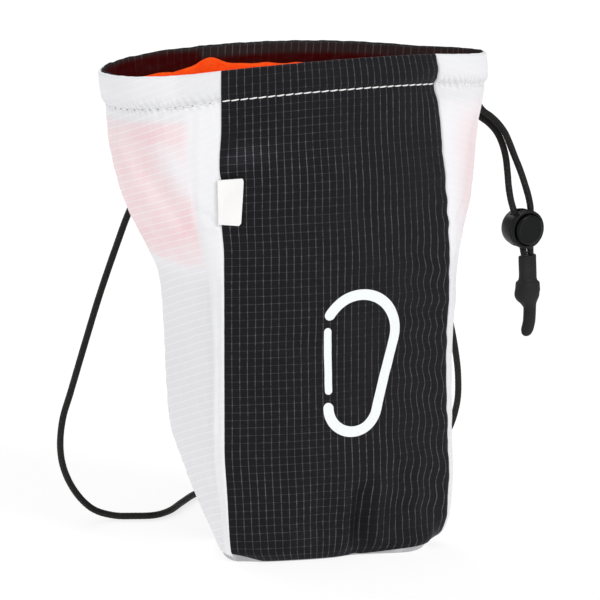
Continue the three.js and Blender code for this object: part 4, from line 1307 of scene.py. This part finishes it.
def fleece_cup():
    share = 0.55  # of the panels' steps
    gap = CLOTH + LINING_GAP
    floor = LINING_FLOOR
    top = BAG_HEIGHT - LINING_DROP - LINING_EDGE

    def soft(panel, across, height, deep):
        u = across * PANEL_WIDTH
        ripple = waves(u, np.full_like(u, height), 22, 40 + ORDER.index(panel))
        return -gap - deep + 0.25 * ripple

    levels = np.concatenate([np.linspace(2.6, 20, 9), np.linspace(24, top, 56)])

    def wall(deep, level, lift):
        return ring(level, lambda p, a: soft(p, a, level, deep), lift, share=share)

    def bottom(deep, height):
        row = ring(levels[0], -gap - 1.6 - deep, wrinkle=False, share=share)
        row[:, 2] = height
        return row

    faces = [[wall(deep, level, lining_rise if level == top else 0.0) for level in levels]
             for deep in (0.0, FLEECE)]
    edge = [wall(FLEECE / 2 - FLEECE / 2 * math.cos(turn), top,
                 lambda p, a: lining_rise(p, a) + 1.1 * math.sin(turn)) for turn in np.linspace(0, np.pi, 7)[1:-1]]
    rows = [bottom(0.0, floor), *faces[0], *edge, *faces[1][::-1], bottom(FLEECE, floor + FLEECE)]
    grains = [ring_grain(level, share) for level in [floor, *levels, *[top] * len(edge), *levels[::-1], floor]]
    piece = ringed_piece("fleece_lining", rows, grains, ORANGE_FLEECE, "fan")
    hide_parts("lining")


def base_cloth():
    """The base with its turned-up, slightly wavy edge."""
    def wave(size):
        return lambda p, a: size * np.sin(a * PANEL_WIDTH * 2 * np.pi / 13 + ORDER.index(p) * 1.7)

    def lip(height, out, size=0.0, at=None):
        row = ring(height, out, wave(size), wrinkle=False)
        if at is not None:
            row[:, 2] = at
        return row

    edge = BASE_LIP + BASE_RISE
    rows = [lip(0.6, -2.2, at=0.0), lip(0.6, -1.1, at=0.05), lip(0.8, -0.7, at=0.4), lip(1.5, -0.55),
            lip(2.2, -0.5, 0.06), lip(edge, -0.5, 0.12), lip(edge + 0.15, -0.6, 0.12), lip(edge, -0.75, 0.1),
            lip(1.6, -1.0), lip(1.4, -2.4, at=1.2)]
    grains = [ring_grain(k * 0.5) for k in range(len(rows))]
    size = len(rows[0])
    turn = np.tile(np.arange(size), len(rows))
    # Painted shade on the base: greyer all round in uneven patches, darkest on the lowest rows as a painted
    # contact shadow
    low = np.repeat([0.5, 0.5, 0.5, 0.35, 0.2, 0, 0, 0, 0, 0], size)
    shade = np.clip(0.66 + low + 0.26 * np.sin(turn * 2 * np.pi / 17 + 2 * np.sin(turn / 11)), 0, 1)
    tints = {"pink": np.zeros_like(shade), "shade": shade, "lines": np.full_like(shade, 0.5)}
    piece = ringed_piece("base_cloth", rows, grains, WHITE_RIPSTOP, "fan", tints)
    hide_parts("base_panel")


inner_facing()
fleece_cup()
base_cloth()


# Tag, tunnel, print and stitching

def cloth_strip(name, spots, thickness, soft, material, grain_of, flip=False):
    """A closed strip of cloth with soft edges: spots(out) gives its face as rows of points that far out."""
    upper, lower = spots(thickness), spots(0.0)
    rows, columns = upper.shape[:2]
    loops = np.concatenate([upper, lower[:, ::-1]], axis=1)
    grain = np.concatenate([grain_of, grain_of[:, ::-1]], axis=1)
    faces = loft_faces(rows, 2 * columns) + strip_caps(rows, 2 * columns)
    piece = make_piece(name, loops, reverse(faces) if flip else faces, material, grain=grain)
    bevel = piece.modifiers.new("soft", "BEVEL")
    bevel.width = soft * MM
    bevel.segments = 3
    bevel.limit_method = "ANGLE"
    bevel.angle_limit = math.radians(50)
    return piece


def seam_tag():
    top = BAG_HEIGHT - TAG_DROP
    heights = np.linspace(top - TAG_HEIGHT + 0.7, top, 40)
    laid = np.linspace(0, 1, 22)
    reach = (TAG_WIDTH - TAG_LAP) / PANEL_WIDTH
    lap_reach = (TAG_LAP + 0.4) / STEPS["left"]
    lap = np.linspace(1 - lap_reach, 1, 6)[:-1]

    def spots(out):
        rows = []
        for k, height in enumerate(heights):
            up = k / (len(heights) - 1)
            curl = 0.5 * (np.linspace(0, 1, len(laid)) ** 2) * (0.4 + 0.6 * up)
            near = cloth("left", lap, np.full_like(lap, height), CLEARANCE + 0.25 + out, wrinkle=False)
            end = reach * (0.8 + 0.13 * up - 0.1 * bell(up, 0, 0.03) - 0.06 * bell(up, 1, 0.03))
            level = height + 0.35 * laid * (2 * up - 1) - 0.25 * laid
            far = cloth("front", laid * end, level, CLEARANCE + 0.1 + curl * 0.7 + out, wrinkle=False)
            rows.append(np.vstack([near, far]))
        return np.array(rows)

    width = np.concatenate([np.linspace(-TAG_LAP, 0, 6)[:-1], laid * (TAG_WIDTH - TAG_LAP)])
    grain = grain_at(width[None, :], heights[:, None])
    piece = cloth_strip("folded_tag", spots, TAG_THICKNESS, 0.2, TAG, grain)
    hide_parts("seam_tag")


def belt_tunnel():
    middle = BAG_HEIGHT - TUNNEL_DROP
    half = TUNNEL_WIDTH / PANEL_WIDTH / 2
    across = np.linspace(0.5 - half, 0.5 + half, 61)
    rises = np.linspace(-TUNNEL_HEIGHT / 2, TUNNEL_HEIGHT / 2, 61)
    hump = smooth_step(0.34 * TUNNEL_HEIGHT, 0.17 * TUNNEL_HEIGHT, np.abs(rises))

    def spots(out):
        wide, rise = np.meshgrid(across, rises, indexing="ij")
        off = CLEARANCE + out + TUNNEL_ROOM * hump[None, :]
        return cloth("back", wide, middle + rise, off, wrinkle=False)

    grain = grain_at(across[:, None] * PANEL_WIDTH, rises[None, :])
    piece = cloth_strip("webbing_tunnel", spots, WEBBING_THICKNESS, 0.25, WEBBING, grain,
                        flip=True)
    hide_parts("belt_tunnel")


seam_tag()
belt_tunnel()


STITCH_RISE = 0.5  # how far a stitch arches, a share of its width


def stitches(name, ends, width, material, holes=False):
    """Short rounded threads between pairs of points, as one piece, and if asked, dark bits of thread in the gaps
    as the painted shade of their needle holes.
    """
    hole_shade = np.zeros(len(ends))
    if holes:
        # the bits between stitches are painted shade of the needle holes, each of a random darkness
        between = [(a[1] * 0.95 + b[0] * 0.05, a[1] * 0.05 + b[0] * 0.95, a[2]) for a, b in zip(ends, ends[1:])]
        hole_shade = np.concatenate([hole_shade, np.random.default_rng(5).uniform(0.3, 1, len(between))])
        ends = ends + between
    sides, rings = 8, 7
    turn = np.linspace(0, 2 * np.pi, sides, endpoint=False)
    share = np.linspace(0, 1, rings)
    points, faces = [], []
    for start, end, outward in ends:
        start, end, outward = (np.asarray(v, float) for v in (start, end, outward))
        way = (end - start) / np.linalg.norm(end - start)
        side = np.cross(way, outward)
        side /= np.linalg.norm(side)
        upward = np.cross(side, way)
        first = sum(len(p) for p in points)
        thick = 0.55 + 0.45 * np.sin(np.pi * share) ** 0.5
        arched = (width * STITCH_RISE * np.sin(np.pi * share))[:, None]
        middles = start + (end - start) * share[:, None] + upward * arched
        circle = np.cos(turn)[:, None] * side + np.sin(turn)[:, None] * upward * 0.8
        made = (middles[:, None] + circle[None] * (width / 2 * thick)[:, None, None]).reshape(-1, 3)
        points.append(np.vstack([made, start[None], end[None]]))
        faces += reverse(tube_faces(rings, sides, first))
    piece = make_piece(name, np.vstack(points), faces, material, tints={"hole_shade": np.repeat(hole_shade, len(points[0]))})
    return piece


def along_cloth(panel, route, pitch, length, lift, tilt=0.0):
    """Stitch ends along a route of (across, height) points, each stitch rising by twice the tilt."""
    route = np.asarray(route, float)
    proud = hem_out(panel, route[:, 0], route[:, 1])
    line = cloth(panel, route[:, 0], route[:, 1], proud + lift)
    aim = cloth(panel, route[:, 0], route[:, 1], proud + lift + 1) - line
    run = run_of(line)
    found = []
    at = 0.5
    while at + length < run[-1]:
        first, last = points_at(line, run, at), points_at(line, run, at + length)
        found.append((first - (0, 0, tilt), last + (0, 0, tilt), points_at(aim, run, at + length / 2)))
        at += pitch
    return found


def hem_route(panel):
    across = np.linspace(0, 1, 240)
    return np.stack([across, hem_line(panel, across)], -1)


STITCH_PITCH = 3.6
for panel, length, lift, tilt, width in (
    ("front", 3.15, 0.1, 0.12, 0.6),
    ("back", 3.15, 0.1, 0.12, 0.6),
    ("left", 2.8, 0.08, 0.0, 0.42),
    ("right", 2.8, 0.08, 0.0, 0.42),
):
    ends = along_cloth(panel, hem_route(panel), STITCH_PITCH, length, lift, tilt)
    stitches(f"hem_stitches_{panel}", ends, width, WHITE_THREAD, holes=panel == "left")


def tunnel_stitches():
    middle = BAG_HEIGHT - TUNNEL_DROP
    half = TUNNEL_WIDTH / PANEL_WIDTH / 2 * 0.96
    across = np.linspace(0.5 - half, 0.5 + half, 60)
    found = []
    for rise in (-0.45, -0.38, 0.38, 0.45):
        route = np.stack([across, np.full_like(across, middle + rise * TUNNEL_HEIGHT)], -1)
        found += along_cloth("back", route, 2.6, 2.1, CLEARANCE + 1.28)
    return found


stitches("tunnel_stitches", tunnel_stitches(), 0.42, BLACK_THREAD)


# Generic print on the front: the outline of a carabiner, in the panel's own plane

PRINT_ACROSS, PRINT_HEIGHT = 0.54, 81.0  # middle of the print
PRINT_STROKE = 4.3
PRINT_LIFT = 0.1  # over the cloth
PRINT_THICKNESS = 0.07
PRINT_LEAN = math.radians(-16)


def arc(centre, radius, start, end):
    turn = np.radians(np.linspace(start, end, 40))
    return np.stack([centre[0] + radius * np.cos(turn), centre[1] + radius * np.sin(turn)], -1)


def print_stroke(line, width):
    """A flat stroke with round ends along a line, as points and faces."""
    run = run_of(line)
    line = points_at(line, run, np.linspace(0, run[-1], max(int(run[-1] / 0.35), 2) + 1))
    way = unit(np.gradient(line, axis=0))
    side = np.stack([-way[:, 1], way[:, 0]], -1)
    run = np.linspace(0, np.linalg.norm(np.diff(line, axis=0), axis=1).sum(), len(line))
    short = np.clip(1 - np.minimum(run, run[-1] - run) / (width / 2), 0, 0.97)
    lanes = np.linspace(-width / 2, width / 2, 8)
    flat = line[:, None] + side[:, None] * (lanes[None] * np.sqrt(1 - short ** 2)[:, None])[..., None]
    across = PRINT_ACROSS + flat[..., 0] / PANEL_WIDTH
    height = PRINT_HEIGHT + flat[..., 1]
    upper = cloth("front", across, height, PRINT_LIFT)
    lower = cloth("front", across, height, PRINT_LIFT - PRINT_THICKNESS)
    loops = np.concatenate([upper, lower[:, ::-1]], axis=1)
    grain = grain_at(across * STEPS["front"], height)
    grain = np.concatenate([grain, grain[:, ::-1]], axis=1)
    rows, size = loops.shape[:2]
    return loops.reshape(-1, 3), grain.reshape(-1, 3), loft_faces(rows, size) + strip_caps(rows, size)


def front_print():
    """A leaning carabiner: a wide top bow, a narrower foot, a straight spine and a slimmer gate."""
    top, foot = (0.0, 12.0), (3.5, -17.5)
    big, small = 15.5, 10.5
    spine_x = top[0] + big
    bow = arc(top, big, 172, 0)
    base = arc((spine_x - small, foot[1]), small, 0, -176)
    body = np.vstack([bow, [[spine_x, 0.0]], base])
    hinge = base[-1]
    nose = bow[0]
    toward = (nose - hinge) / np.linalg.norm(nose - hinge)
    gate = np.array([hinge + toward * 3.4, nose - toward * 3.2])
    points, grains, faces = [], [], []
    for line, width in ((body, PRINT_STROKE), (gate, PRINT_STROKE * 0.72)):
        made, grain, found = print_stroke(np.stack(turned(line[:, 0], line[:, 1], PRINT_LEAN), -1), width)
        first = sum(len(p) for p in points)
        faces += [tuple(first + k for k in face) for face in reverse(found)]
        points.append(made)
        grains.append(grain)
    piece = make_piece("front_print", np.vstack(points), faces, PRINT, grain=np.vstack(grains), sharp=60)


front_print()


# Floor and light

FLOOR_REACH = 8.0  # metres
FLOOR_DROP = -0.0002
WORLD_LIGHT = 0.52
LIGHTS = [  # where each sun stands, its angle and its power
    ("key", (0.45, -0.85, 0.62), 18, 1.35),
    ("fill", (-0.95, -0.3, 0.45), 35, 0.75),
    ("back", (-0.1, 0.8, 0.7), 40, 0.7),
]


def make_floor():
    mesh = bpy.data.meshes.new("floor")
    corners = [(x * FLOOR_REACH, y * FLOOR_REACH, 0) for x, y in ((-1, -1), (1, -1), (1, 1), (-1, 1))]
    mesh.from_pydata(corners, [], [(0, 1, 2, 3)])
    floor = bpy.data.objects.new("floor", mesh)
    bpy.context.scene.collection.objects.link(floor)
    mesh.materials.append(Nodes("floor").finish((0.3, 0.3, 0.3), 0.9, Specular_IOR_Level=0.0,
                                                Emission_Color=(1.0, 1.0, 1.0), Emission_Strength=0.76))
    floor.location.z = FLOOR_DROP


def make_lights():
    world = bpy.data.worlds.new("studio")
    bpy.context.scene.world = world
    world.use_nodes = True
    background = world.node_tree.nodes["Background"]
    background.inputs["Color"].default_value = (1.0, 1.0, 1.0, 1.0)
    background.inputs["Strength"].default_value = WORLD_LIGHT
    for name, toward, angle, power in LIGHTS:
        data = bpy.data.lights.new(name, "SUN")
        data.energy, data.angle = power, math.radians(angle)
        light = bpy.data.objects.new(name, data)
        bpy.context.scene.collection.objects.link(light)
        light.rotation_euler = (-Vector(toward)).to_track_quat("-Z", "Y").to_euler()


make_floor()
make_lights()
bpy.context.scene.view_settings.view_transform = "Standard"
